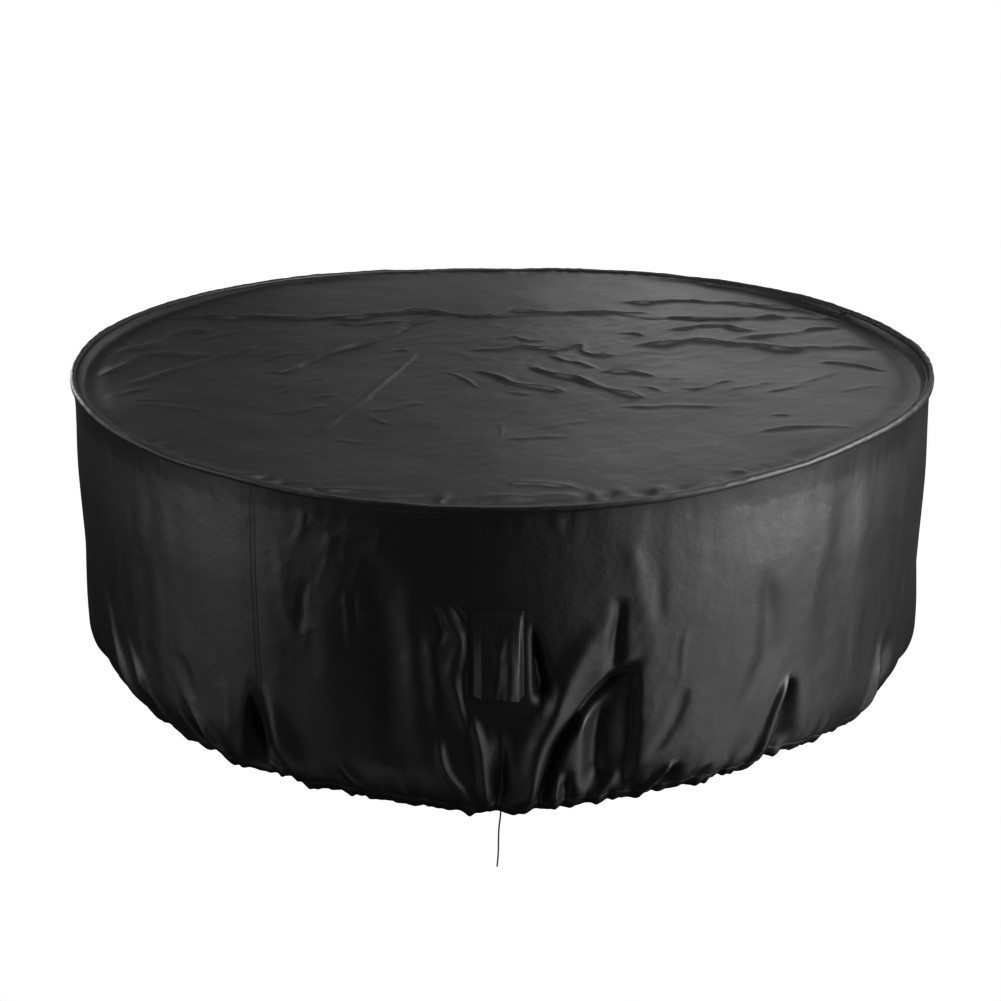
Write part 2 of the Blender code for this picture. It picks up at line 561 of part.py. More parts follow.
def hood_inner(line):
    """The same line moved inwards by the cloth's thickness."""
    moved = []
    for i, (s, d) in enumerate(line):
        before, after = line[max(i - 1, 0)], line[min(i + 1, len(line) - 1)]
        first = Vector((s - before[0], d - before[1])).normalized() if i else None
        second = Vector((after[0] - s, after[1] - d)).normalized() if i < len(line) - 1 else None
        first, second = first or second, second or first
        normals = [Vector((v.y, -v.x)) for v in (first, second)]
        bisector = (normals[0] + normals[1]).normalized()
        reach = CLOTH / max(0.5, bisector.dot(normals[0]))
        moved.append((s + bisector.x * reach, d + bisector.y * reach))
    return moved


def vent_hood(material):
    """Front panel and side gussets in one sheet, sewn on by a flange and open at the bottom."""
    shares = [-0.04, 0.0, 0.12, 0.30, 0.50, 0.75, 1.0]
    outer, inner, faces = [], [], []
    for share in shares:
        depth = HOOD_TOP + (HOOD_BOTTOM - HOOD_TOP) * share
        line = hood_section(share)
        for points, side in ((line, outer), (hood_inner(line), inner)):
            for s, off in points:
                azimuth = HOOD_AZIMUTH + math.degrees(s / wall_profile(depth))
                x, y = around(azimuth, wall_profile(depth) + off)
                side.append((x, y, RIM_TOP - depth))
    across = len(hood_section(0.0))
    for row in range(len(shares) - 1):
        for i in range(across - 1):
            here = row * across + i
            faces.append([here, here + across, here + across + 1, here + 1])
    return sheet("vent_hood", faces, outer, inner, material)


# ---------------------------------------------------------------- drawstring tail


def smooth_route(points, step):
    """Points at an even step along a smooth curve through the given ones."""
    fine = []
    for i in range(len(points) - 1):
        p0, p1, p2, p3 = (points[min(max(k, 0), len(points) - 1)] for k in (i - 1, i, i + 1, i + 2))
        for k in range(8):
            t = k / 8
            fine.append(0.5 * (2 * p1 + (p2 - p0) * t + (2 * p0 - 5 * p1 + 4 * p2 - p3) * t**2
                               + (3 * p1 - p0 - 3 * p2 + p3) * t**3))
    fine.append(points[-1])
    lengths = [0.0]
    for a, b in zip(fine, fine[1:]):
        lengths.append(lengths[-1] + (b - a).length)
    count = round(lengths[-1] / step)
    even, k = [], 0
    for i in range(count + 1):
        want = lengths[-1] * i / count
        while k < len(fine) - 2 and lengths[k + 1] < want:
            k += 1
        share = (want - lengths[k]) / (lengths[k + 1] - lengths[k])
        even.append(fine[k].lerp(fine[k + 1], share))
    return even


def drawstring_tail(material):
    """The free end of the drawstring, hanging from the hem at the front."""
    root = skirt_point(TAIL_AZIMUTH, HEM, HEM_THICKNESS / 2)
    out, up = profile_normal(HEM)
    # the hem's lower edge slopes, and the cord's flat end stays just clear of it
    root.z -= TAIL_DIAMETER / 2 * abs(up / out) + SEAM_GAP
    route = [Vector((root.x + p.x, root.y + p.y, root.z - p.drop)) for p in TAIL_ROUTE]
    curve = bpy.data.curves.new("drawstring_tail", "CURVE")
    curve.dimensions = "3D"
    curve.bevel_depth = TAIL_DIAMETER / 2
    curve.bevel_resolution = 2
    curve.use_fill_caps = True
    points = smooth_route(route, TAIL_STEP)
    spline = curve.splines.new("POLY")
    spline.points.add(len(points) - 1)
    for target, point in zip(spline.points, points):
        target.co = (*point, 1)
    curve.materials.append(material)
    piece = bpy.data.objects.new("drawstring_tail", curve)
    bpy.context.collection.objects.link(piece)
    return piece


# ---------------------------------------------------------------- assembly


def build():
    for old in list(bpy.data.objects):
        bpy.data.objects.remove(old, do_unlink=True)
    cloth = fabric("coated_polyester", 0.020, 0.52)
    binding = fabric("piping_polyester", 0.026, 0.46)
    cord = fabric("braided_cord", 0.030, 0.75)
    top_panel("top_main", FRONT_ARC, -1, cloth)
    top_panel("top_rear", REAR_ARC, +1, cloth)
    rim_piping(binding)
    skirt_panel("skirt_right", FRONT_SEAM, REAR_SEAM, cloth)
    skirt_panel("skirt_left", REAR_SEAM, 360.0 + FRONT_SEAM, cloth)
    vent_hood(cloth)
    drawstring_tail(cord)


build()
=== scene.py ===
"""Looks of the round patio furniture cover: cloth sheets with their creases, the bound rim, the hood and the cord.

Metres, +Z up, front towards -Y. Azimuths are in degrees from the front, growing towards +X. Depths are metres
below the plain rim's upper line.
"""

import math
from collections import namedtuple

import bpy
import numpy as np
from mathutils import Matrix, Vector
from mathutils.geometry import delaunay_2d_cdt
from mathutils.kdtree import KDTree


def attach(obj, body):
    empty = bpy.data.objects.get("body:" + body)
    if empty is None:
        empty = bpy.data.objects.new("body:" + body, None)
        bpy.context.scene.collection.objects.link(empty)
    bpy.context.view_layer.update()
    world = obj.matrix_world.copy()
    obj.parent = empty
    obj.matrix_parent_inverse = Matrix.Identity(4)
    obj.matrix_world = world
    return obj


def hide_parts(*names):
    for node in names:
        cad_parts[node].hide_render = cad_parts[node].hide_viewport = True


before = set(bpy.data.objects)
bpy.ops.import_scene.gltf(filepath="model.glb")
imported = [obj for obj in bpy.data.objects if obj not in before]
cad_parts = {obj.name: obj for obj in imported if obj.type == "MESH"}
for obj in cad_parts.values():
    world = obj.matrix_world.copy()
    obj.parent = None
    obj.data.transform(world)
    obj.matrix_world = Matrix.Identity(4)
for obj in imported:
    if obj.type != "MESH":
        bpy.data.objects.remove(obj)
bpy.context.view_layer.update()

# ---------------- sizes shared with the solids

RIM_RADIUS = 1.067
HEM = 0.711                   # depth of the hem
CLOTH = 0.002
SHEET = 0.0012                # thickness of the shown cloth
SEAM_ALLOWANCE = 0.010
SEAM_GAP = 0.0004
RIM_TOP = 0.020
PIPING_WIDTH = 0.014
PIPING_RADIUS = RIM_RADIUS - PIPING_WIDTH / 2
TOP_RADIUS = RIM_RADIUS - PIPING_WIDTH - SEAM_GAP
FRONT_SEAM = -29.0
REAR_SEAM = 151.0
TOP_SEAM_Y = 1.524 - 2 * SEAM_ALLOWANCE - RIM_RADIUS
HOOD_WIDTH = 0.094
HOOD_TOP = 0.240
HOOD_BOTTOM = 0.422
HOOD_STAND = 0.030
HOOD_CREASE = 0.003
HOOD_FLANGE = 0.007
HOOD_AZIMUTH = -0.4
HEM_CHANNEL = 0.028           # height of the turned hem
TAIL_DIAMETER = 0.003
TAIL_AZIMUTH = -0.17

# The wall is drawn in under the rim, bulges below that, and is drawn in again towards the hem.
UNDERCUT, UNDERCUT_REACH = 0.004, 0.04
BULGE, BULGE_START, BULGE_REACH = 0.009, 0.03, 0.22
DRAW_IN, DRAW_START, DRAW_POWER = 0.053, 0.575, 2.2

# Inside the piping the top climbs over LIP_REACH: over half of that past SIDE_TURN, where the piping stands high,
# and over BACK_REACH more past BACK_TURN, both in degrees from the front.
LIP_REACH, BACK_REACH = 0.028, 0.10
SIDE_TURN, SIDE_FADE, BACK_TURN, BACK_FADE = 60, 20, 142, 22

# ---------------- folds of the skirt

# `lift` is outwards, or inwards where negative. `bow` moves a fold sideways halfway down, in degrees. `lean` above
# 0 makes the side towards +azimuth the gentle one.
Fold = namedtuple("Fold", "top_az top_depth low_az low_depth narrow wide lift bow lean", defaults=(0, 0))
FOLDS = [
    Fold(-62, .38, -52, HEM, .03, .04, .011),
    Fold(-55, .47, -45.5, HEM, .03, .045, .014),
    Fold(-50, .56, -47.5, HEM, .03, .045, -.014),
    Fold(-43, .55, -39, HEM, .03, .055, -.022, 0, .3),
    Fold(-42, .555, -35.5, HEM, .03, .045, .015, .5),
    Fold(-29.9, .44, -30.6, HEM, .026, .125, -.052, -.2, .5),
    Fold(-28.4, .445, -24.6, HEM, .026, .105, .026, .3, .1),
    Fold(-20, .24, -19, .64, .07, .07, .004),
    Fold(-19, .59, -15, HEM, .03, .06, .014, 0, .3),
    Fold(-13.2, .13, -12.4, .6, .09, .1, -.013),
    Fold(-10.2, .18, -9.2, .62, .044, .054, .006, .3),
    Fold(-7.4, .22, -6.9, .52, .045, .05, -.009),
    Fold(-.5, .47, -.4, HEM, .03, .036, -.026),
    Fold(12.4, .22, 2.3, HEM, .06, .06, .026, -1.9),
    Fold(12.9, .215, 11.9, .415, .03, .038, -.013),
    Fold(6.4, .59, 5.4, HEM, .03, .03, .015),
    Fold(7.3, .58, 7.2, HEM, .03, .032, -.016),
    Fold(14, .61, 11.2, HEM, .03, .035, .013),
    Fold(20.2, .61, 18.5, HEM, .026, .038, -.022),
    Fold(24.7, .64, 23.4, HEM, .026, .036, -.016),
    Fold(45, .03, 42.3, .5, .09, .11, -.004),
    Fold(50.6, .04, 48.2, .46, .07, .07, .001),
    Fold(55.8, .45, 53.2, HEM, .03, .036, .014),
    Fold(57.6, .48, 57.4, HEM, .036, .08, -.03, 0, .3),
    # the sides and the back
    Fold(68, .3, 71, HEM, .07, .08, .014),
    Fold(82, .42, 79, HEM, .06, .09, -.022),
    Fold(96, .16, 93, .66, .1, .1, -.01, .5),
    Fold(107, .4, 111, HEM, .06, .09, -.024),
    Fold(122, .25, 119, HEM, .08, .09, .016, -.5),
    Fold(134, .45, 138, HEM, .06, .1, -.026),
    Fold(151, .38, 148, HEM, .06, .08, .02),
    Fold(163, .12, 160, .62, .11, .11, -.012),
    Fold(176, .33, 172, HEM, .07, .09, .018, .8),
    Fold(188, .48, 191, HEM, .06, .1, -.028),
    Fold(203, .22, 207, HEM, .09, .09, .014),
    Fold(219, .43, 216, HEM, .06, .09, -.024),
    Fold(233, .14, 230, .6, .11, .1, .012, .6),
    Fold(246, .4, 249, HEM, .06, .09, -.026),
    Fold(259, .3, 262, HEM, .08, .08, .016),
    Fold(273, .47, 276, HEM, .06, .09, -.022),
    Fold(287, .35, 291, HEM, .07, .07, .013),
]

# Finer creases that only the shown cloth has.
FINE_FOLDS = [
    Fold(-41.5, .46, -40.5, .56, .04, .04, -.005),
    Fold(-34.2, .48, -34, .68, .034, .044, .004),
    Fold(-22.2, .05, -22.2, .095, .01, .01, .002),
    Fold(-22.2, .2, -22.9, .32, .018, .022, -.004),
    Fold(-17.6, .2, -17, .34, .014, .016, .003, .3),
    Fold(-16.4, .21, -16, .3, .012, .012, -.003, -.2),
    Fold(-25.5, .12, -24, .36, .03, .03, .002),
    Fold(-7, .23, -6.9, .32, .02, .022, -.004),
    Fold(17.5, .16, 17.6, .3, .03, .03, -.002),
    Fold(20.9, .31, 20.6, .42, .014, .016, .002),
    Fold(62.6, .34, 62.2, .51, .012, .014, .002),
]

# Folds that wind: each runs down through its own azimuths, depths and widths. `lean` as above.
Run = namedtuple("Run", "lift lean path")
RUNS = [
    # beside the hood and below it
    Run(.0065, 0, [(-6.5, .205, .024), (-5.7, .265, .032), (-4.4, .303, .034), (-4.9, .345, .032),
        (-5.5, .385, .03), (-4.9, .44, .026), (-3.8, .52, .02)]),
    Run(-.007, 0, [(-6, .2, .014), (-4.8, .24, .016), (-3.4, .275, .018), (-3.4, .35, .018), (-4.1, .4, .018),
        (-3.6, .48, .02)]),
    Run(.008, 0, [(-7.1, .505, .014), (-6.4, .59, .022), (-4.9, .632, .024), (-4.1, HEM, .02)]),
    Run(.009, .2, [(-3.6, .45, .014), (-2.4, .56, .022), (-1.8, HEM, .02)]),
    Run(-.022, 0, [(2.9, .255, .012), (3.8, .34, .026), (4.4, .4, .038), (4.3, .462, .016)]),
    # the deep valley below the broad slanting fold, and the folds in the wedge beyond it
    Run(-.028, 0, [(16.5, .345, .026), (13.2, .386, .044), (9.8, .454, .036), (6.7, .524, .03), (5.1, .6, .028),
        (3.9, HEM, .026)]),
    Run(-.021, .2, [(14.2, .365, .026), (12.5, .418, .05), (11.4, .455, .068), (10.8, .521, .074),
        (10.5, .69, .072)]),
    Run(-.016, -.5, [(15.1, .365, .02), (14.8, .44, .04), (14.5, .55, .046), (14.1, .69, .05)]),
    Run(-.012, 0, [(13.2, .4, .03), (11.8, .52, .09), (10.9, HEM, .11)]),
    Run(-.006, 0, [(11.5, .45, .02), (11.1, .58, .026), (11.4, .68, .022)]),
    Run(.004, 0, [(9, .455, .018), (9.2, .55, .03), (9.6, HEM, .034)]),
    Run(.0018, 0, [(14, .09, .03), (15.2, .19, .05), (16.6, .3, .036)]),
    Run(-.005, 0, [(21.4, .43, .03), (19.2, .53, .034), (16.4, .605, .03)]),
    Run(.013, .2, [(19.8, .605, .014), (18.2, .65, .022), (16.3, HEM, .028)]),
    # right
    Run(-.01, 0, [(30.6, .19, .05), (32.4, .335, .065), (32.2, .4, .068), (30.8, .462, .07), (29.3, .515, .075),
        (28.2, .61, .08), (27, .7, .08)]),
    Run(.013, .3, [(35.9, .465, .014), (34, .53, .026), (32.6, .6, .036), (32, HEM, .045)]),
    Run(-.032, .45, [(36.2, .475, .018), (35.5, .56, .042), (35.4, .64, .066), (35.6, HEM, .085)]),
]

HEM_HOLD = 0.60               # share of a fold that the drawstring holds back at the hem
HEM_HOLD_START = 0.640
NARROWEST = 0.004
OPENING = 1.6                 # a fold that runs into the hem has its full height 1 / this of the way down
ROUNDING = 0.7                # of the others, below 1 for a fuller middle
RUN_OPENING = 4.5             # as OPENING, for each free end of a run
RUN_WAVER = 0.4               # share of the folds' wavering that the runs follow

# How far the hem hangs below its plain line, or above it where negative, by azimuth.
Drop = namedtuple("Drop", "azimuth drop")
HEM_DROPS = [
    Drop(-150, 0), Drop(-100, 0), Drop(-66, -.005), Drop(-52, -.009), Drop(-42, 0), Drop(-30, .008),
    Drop(-20, .001), Drop(-12, .007), Drop(-2, .019), Drop(6, .012), Drop(14, 0), Drop(24, -.003), Drop(36, -.008),
    Drop(44, .004), Drop(56, .016), Drop(66, .01), Drop(80, 0), Drop(120, 0), Drop(165, .004),
]
DROP_START = 0.350

Wave = namedtuple("Wave", "count lift phase")
RIM_WAVES = [Wave(9, 0.0006, 0.6), Wave(23, 0.0005, 2.0)]
HEM_RIPPLES = [Wave(53, 0.0022, 1.3), Wave(89, 0.0018, 3.7)]
GATHERS = [Wave(61, 0.0016, 0.4), Wave(97, 0.0016, 2.1), Wave(143, 0.0014, 4.4)]
GATHER_REACH = 0.060
RIPPLE_SHARE = 0.6            # the rest of the hem's ripples is random
LIFT_HELD, LIFT_HELD_START, LIFT_HELD_REACH = 0.65, 0.58, 0.12

# Random fields: the size of their cells across and down, a seed, their height, and where their cells begin.
Field = namedtuple("Field", "across down seed lift start", defaults=(0,))
WAVER = [Field(0.10, 0.09, 11, 0.35), Field(0.045, 0.04, 12, 0.16)]       # degrees that the folds waver
WAVER_START, WAVER_REACH = 0.02, 0.1
DRAPE_REACH = 0.08
DRAPE = Field(0.17, 0.50, 31, 0.0030)
FINE_DRAPE = Field(0.045, 0.16, 32, 0.0010)
STROKES = Field(0.024, 0.055, 33, 1)
STROKE_PLACES = Field(0.07, 0.08, 35, 1.2)
STROKE_LIFT, STROKE_SINK = 0.0030, 0.15
STROKE_SLANT = 22             # degrees of azimuth in each metre of drop
UNDER_RIM = Field(0.022, 0.08, 34, 0.0016)
UNDER_RIM_MIDDLE, UNDER_RIM_REACH = 0.035, 0.025
UNDER_RIM_START, UNDER_RIM_FADE = 0.012, 0.02
HEM_UNEVEN = [Field(0.024, 1, 71, 0.0040), Field(0.012, 1, 72, 0.0034)]
# By how far they reach above the hem.
HEM_GATHERS = {
    0.110: Field(0.060, 0.30, 20, 0.0030), 0.050: Field(0.026, 0.13, 21, 0.0034),
    0.026: Field(0.012, 0.06, 22, 0.0036),
}

GATHER_POWER = 1.5            # how suddenly they end
EDGE_EASE, EDGE_REACH = 0.6, 0.3          # they are weaker at the edge, over this share of their reach

# Patches of the skirt where short slanting crumples were pressed in.
Patch = namedtuple("Patch", "azimuth depth turn drop share")
CRUMPLED = [Patch(-16, 0.29, 8, 0.16, 1), Patch(20, 0.40, 14, 0.20, 0.35), Patch(-19, 0.09, 9, 0.05, 0.5)]

# ---------------- line of the rim

# The height of the piping's upper line, how tall the piping is, and how far the top lies below it just inside.
Rim = namedtuple("Rim", "azimuth top tall lip")
RIM = [
    Rim(-165, .003, .014, .002), Rim(-150, .014, .014, .006), Rim(-135, .024, .014, .01),
    Rim(-120, .03, .016, .016), Rim(-105, .035, .018, .018), Rim(-90, .038, .02, .018), Rim(-75, .035, .02, .016),
    Rim(-60, .034, .015, .01), Rim(-45, .027, .014, .005), Rim(-30, .021, .014, .003), Rim(-20, .015, .015, .001),
    Rim(-8, .012, .016, 0), Rim(8, .012, .016, 0), Rim(18, .016, .015, .002), Rim(27, .024, .014, .004),
    Rim(36, .032, .014, .006), Rim(46, .04, .015, .009), Rim(57, .045, .022, .013), Rim(68, .044, .027, .018),
    Rim(80, .038, .027, .022), Rim(95, .031, .024, .022), Rim(110, .025, .02, .018), Rim(130, .02, .016, .014),
    Rim(150, .011, .014, .006), Rim(165, .003, .014, .001), Rim(180, -.002, .014, 0),
]
RISE_START, RISE_REACH = 0.62, 0.40

# ---------------- creases of the top

# Each runs through its own few points, in metres on the plan.
Crease = namedtuple("Crease", "width lift route")
CREASES = [
    # long ones that run in from the left
    Crease(.042, .006, [(-1.01, -.16), (-.97, -.13), (-.94, -.06), (-.91, .03), (-.87, .04), (-.8, .035),
        (-.73, .055)]),
    Crease(.048, .007, [(-1, .05), (-.96, .075), (-.91, .12), (-.88, .21), (-.84, .27), (-.77, .29)]),
    Crease(.035, .0075, [(-.92, -.22), (-.86, -.18), (-.815, -.11), (-.765, -.04), (-.72, .04), (-.675, .09),
        (-.635, .16)]),
    Crease(.029, .0035, [(-.81, .17), (-.74, .26), (-.7, .3)]),
    Crease(.032, .004, [(-.94, -.34), (-.885, -.3), (-.84, -.24)]),
    Crease(.027, .0035, [(-.88, -.375), (-.82, -.375), (-.76, -.375)]),
    Crease(.027, .004, [(-.86, -.42), (-.795, -.42), (-.74, -.43), (-.68, -.445)]),
    Crease(.024, .003, [(-.62, -.02), (-.565, .055), (-.52, .075)]),
    Crease(.024, .003, [(-.545, -.315), (-.495, -.245), (-.46, -.18), (-.42, -.18)]),
    Crease(.027, .0035, [(-.465, -.36), (-.42, -.31), (-.38, -.31)]),
    Crease(.027, .0035, [(-.54, -.46), (-.465, -.435), (-.4, -.385)]),
    Crease(.032, .0035, [(-.95, .505), (-.885, .53), (-.81, .575), (-.73, .6)]),
    # the two long slanting ones
    Crease(.028, .0125, [(-.6, -.12), (-.535, -.09), (-.5, 0), (-.445, .08), (-.375, .16), (-.3, .27), (-.24, .375),
        (-.16, .435)]),
    Crease(.028, .006, [(-.455, -.61), (-.415, -.6), (-.385, -.52), (-.36, -.45), (-.335, -.37), (-.3, -.26),
        (-.275, -.145), (-.245, -.04), (-.215, .1)]),
    Crease(.026, .004, [(-.3, .1), (-.255, .1), (-.215, .1)]),
    Crease(.024, .0055, [(-.31, -.43), (-.26, -.42), (-.215, -.38), (-.175, -.375)]),
    Crease(.024, .003, [(-.315, -.455), (-.275, -.51), (-.235, -.54)]),
    Crease(.024, .0025, [(-.38, -.645), (-.33, -.65), (-.29, -.66)]),
    # middle
    Crease(.032, .008, [(-.1, .1), (0, .11), (.05, .13), (.11, .11), (.16, .11), (.205, .145), (.225, .06),
        (.31, .055)]),
    Crease(.026, .005, [(-.02, .185), (.03, .23), (.065, .19), (.13, .2)]),
    Crease(.027, .0025, [(.015, .26), (.055, .335), (.095, .38)]),
    Crease(.03, .0085, [(-.08, -.08), (-.03, -.127), (.01, -.188), (.05, -.22), (.1, -.245), (.155, -.275)]),
    Crease(.032, .01, [(.06, -.045), (.118, -.12), (.167, -.153), (.214, -.205), (.26, -.26), (.296, -.287),
        (.345, -.325)]),
    Crease(.027, .0055, [(.115, .06), (.162, 0), (.212, -.04), (.245, -.08)]),
    Crease(.024, .004, [(0, -.26), (.047, -.29), (.09, -.295)]),
    Crease(.022, .0035, [(-.135, -.1), (-.088, -.18), (-.05, -.24)]),
    Crease(.013, .0022, [(-.002, -.5), (0, -.57), (0, -.63)]),
    Crease(.024, .0035, [(.005, -.625), (.035, -.625), (.09, -.61), (.16, -.603)]),
    Crease(.027, .0022, [(.08, -.555), (.145, -.51), (.21, -.495)]),
    # right
    Crease(.029, .0088, [(.235, -.11), (.29, -.1), (.33, -.11), (.38, -.15)]),
    Crease(.022, .0037, [(.4, -.18), (.43, -.17), (.455, -.15)]),
    Crease(.022, .0044, [(.315, -.22), (.357, -.238), (.395, -.3)]),
    Crease(.024, .0044, [(.43, -.255), (.475, -.263), (.53, -.213), (.58, -.196)]),
    Crease(.027, .0028, [(.54, -.27), (.613, -.238), (.655, -.205)]),
    Crease(.032, .0031, [(.61, -.3), (.68, -.27), (.742, -.213), (.8, -.136), (.85, -.08)]),
    Crease(.029, .0037, [(.25, -.383), (.32, -.39), (.39, -.39), (.46, -.398), (.52, -.415)]),
    Crease(.029, .0028, [(.79, -.3), (.86, -.255), (.93, -.238)]),
    Crease(.03, .005, [(.54, -.612), (.616, -.597), (.687, -.597), (.79, -.604)]),
    Crease(.021, .0037, [(.6, -.478), (.66, -.49)]),
    Crease(.029, .0056, [(.795, 0), (.88, -.03), (.914, -.057), (.965, -.1)]),
    Crease(.03, .0088, [(.43, .3), (.5, .312), (.55, .334), (.604, .334), (.644, .302), (.7, .29)]),
    Crease(.026, .0056, [(.295, .265), (.36, .25), (.4, .225)]),
    Crease(.048, .01, [(.32, .135), (.43, .16), (.524, .19), (.585, .17), (.656, .15), (.744, .115), (.83, .13),
        (.927, .14), (1.01, .12)]),
    Crease(.04, .0069, [(.585, .19), (.655, .22), (.734, .25), (.79, .28), (.853, .323), (.945, .345)]),
    Crease(.037, .0106, [(.32, .6), (.42, .6), (.513, .625), (.604, .613), (.68, .589), (.756, .554), (.832, .531),
        (.887, .486), (.927, .431), (.985, .37)]),
    # beside the front rim
    Crease(.027, .006, [(0, -.93), (.1, -.93), (.165, -.955)]),
    Crease(.021, .0037, [(.47, -.87), (.51, -.87)]),
    # the seam's own ridge, with a second line below it
    Crease(.04, .0063, [(-.9, .37), (-.84, .41), (-.757, .412), (-.67, .434), (-.58, .423), (-.48, .434)]),
    Crease(.038, .009, [(-.52, .43), (-.45, .445), (-.397, .434), (-.34, .475), (-.26, .505), (-.19, .49),
        (-.13, .465)]),
    Crease(.029, .004, [(-.49, .375), (-.376, .365), (-.31, .385), (-.23, .4)]),
    Crease(.026, .0045, [(-.15, .47), (-.09, .434), (-.034, .445), (.03, .48)]),
    Crease(.035, .0077, [(0, .475), (.08, .49), (.19, .48), (.276, .48), (.373, .49), (.43, .47)]),
    Crease(.032, .0054, [(.42, .46), (.5, .425), (.608, .42), (.69, .423), (.767, .44), (.82, .4)]),
]
CREASE_NEAR = 0.09            # past this a crease adds nothing
CREASE_WANDER = [Field(0.05, 0.05, 48, 0.004, 40), Field(0.05, 0.07, 49, 0.007, 80)]      # sideways and back
CREASE_WAVE, WAVE_TURNS, WAVE_START = 0.2, 13, 40         # its height rises and falls evenly
CREASE_SWELL = Field(0.04, 0.06, 50, 0.35, 60)            # and unevenly
# The ends of a crease of at least this length fade over one part in so many.
CREASE_ENDS = ((0.3, 7), (0.13, 4), (0, 2))
# Least share, and what is added where a crease runs right across the view, or in its middle.
CROSS_WIDTH, CROSS_HEIGHT, MIDDLE_WIDTH = (0.55, 0.35), (0.75, 0.25), (0.65, 0.35)
FAR_SIDE, NEAR_SIDE = 1.25, 0.8
RIDGE_POWER, RIDGE_SHARE = 1.6, 0.92
TROUGH_WIDTH, TROUGH_SHARE = 0.9, 0.25

# Bubbles and dimples of the top beside the front piping: the azimuth, how far in from the piping, half the turn
# they cover, their reach inwards, how they slant, and their height.
Bubble = namedtuple("Bubble", "azimuth inset turn reach slant lift")
RIM_BUBBLES = [
    Bubble(-30, .03, 1.6, .012, .012, .003), Bubble(-28.6, .016, .9, .012, .01, -.0032),
    Bubble(-27.2, .024, .9, .016, .014, .0032), Bubble(-25.8, .014, .8, .014, .01, -.0037),
    Bubble(-24.6, .034, 1.4, .01, .016, .0033), Bubble(-21.5, .012, 1, .01, .006, -.0042),
    Bubble(-19.6, .03, 2.2, .012, .012, .0038), Bubble(-15.5, .05, 2.6, .012, .014, .0035),
    Bubble(-11, .026, 2, .012, .012, .0034), Bubble(-6.6, .036, .5, .03, .012, .0048),
    Bubble(-5.2, .012, 1.4, .01, 0, -.002), Bubble(1.5, .046, 2.8, .012, -.004, .0046),
    Bubble(6.4, .05, 2.4, .013, -.006, .005), Bubble(4.2, .02, 4, .01, 0, -.0016),
    Bubble(10.6, .046, .7, .02, .01, .0032), Bubble(12.4, .036, .8, .014, .012, -.0037),
    Bubble(13.8, .052, .9, .016, .012, .0032), Bubble(16.8, .03, .9, .016, .014, -.0028),
    Bubble(18.4, .044, 1.2, .014, .012, .0037), Bubble(20.8, .028, 1, .012, .01, -.0028),
    Bubble(25, .03, 2.4, .012, .012, .002),
]

Swell = namedtuple("Swell", "x y radius rise")
SWELLS = [
    Swell(0, -.95, .45, .004), Swell(.62, -.3, .35, .005), Swell(-.6, -.35, .4, .004), Swell(0, .62, .34, .004),
]

# How the top's seam wanders from its straight line, by x.
Shift = namedtuple("Shift", "x shift")
SEAM_SHIFTS = [
    Shift(-.97, -.05), Shift(-.84, -.03), Shift(-.645, -.022), Shift(-.46, -.012), Shift(-.355, .018),
    Shift(-.25, .04), Shift(-.17, .036), Shift(-.1, 0), Shift(0, -.006), Shift(.13, .018), Shift(.31, .028),
    Shift(.42, -.016), Shift(.6, -.026), Shift(.71, -.006), Shift(.8, .004), Shift(.97, 0),
]

TOP_SOFT = Field(0.24, 0.24, 41, 0.0022, 9)
TOP_SLANTED = Field(0.09, 0.09, 42, 0.0009, 9)
TOP_SLANT = 0.3
TOP_FINE = Field(0.11, 0.035, 43, 1, 30)
TOP_FINE_LIFT, TOP_FINE_LEAST = 0.0018, 0.25
FINE_COS, FINE_SIN = 0.86, 0.51           # how the fine creases are turned
BUSY_X, BUSY_WIDE, BUSY_Y, BUSY_DEEP = 0.25, 0.55, 0.15, 0.35             # where most of them are
SEAM_RIDGE, SEAM_RIDGE_BACK, SEAM_RIDGE_WIDTH = 0.0020, 0.004, 0.010
SEAM_DRAWN = Field(0.030, 0.05, 44, 0.0014, 5)
SEAM_DRAWN_OFF, SEAM_DRAWN_WIDTH = 0.012, 0.016
RIM_PUCKERS = [Field(0.034, 0.12, 45, 1), Field(0.018, 0.07, 46, 0.6)]
PUCKER_PLACES, PUCKER_LEAST = Field(0.22, 1, 47, 0.5), 0.35
PUCKER_LIFT, PUCKER_REACH, PUCKER_FADE = 0.0026, 0.070, 0.045
PUCKERED_AZIMUTH, PUCKERED_TURN = -25.5, 5        # where the rim is puckered most
CALM_LIP, CALM_FADE, CALM_SHARE = 0.004, 0.010, 0.9       # a lip taller than this stretches most of them out
BUBBLE_POWER = 1.3
RIM_FADE, BUBBLE_FADE = 0.012, 0.006      # over which puckers and bubbles end at the piping
LIP_TROUGH = 0.12             # depth of the trough beside the lip, as a share of the lip
TROUGH_OFF, TROUGH_REACH = 0.012, 0.020

# ---------------- helpers


def smooth(t):
    """0 below 0, 1 above 1, and an even S between."""
    t = np.clip(t, 0.0, 1.0)
    return t * t * (3 - 2 * t)


def bell(t):
    """1 at 0, falling off on both sides."""
    return np.exp(-(t**2))


def least_and(shares, t):
    """The first share, and as much of the second as t says."""
    return shares[0] + shares[1] * t


def around(azimuth, radius):
    a = np.radians(azimuth)
    return radius * np.sin(a), -radius * np.cos(a)


def turn_between(azimuth, other):
    return (azimuth - other + 180.0) % 360.0 - 180.0


def round_waves(waves, azimuth):
    a = np.radians(azimuth)
    return sum(wave.lift * np.sin(wave.count * a + wave.phase) for wave in waves)


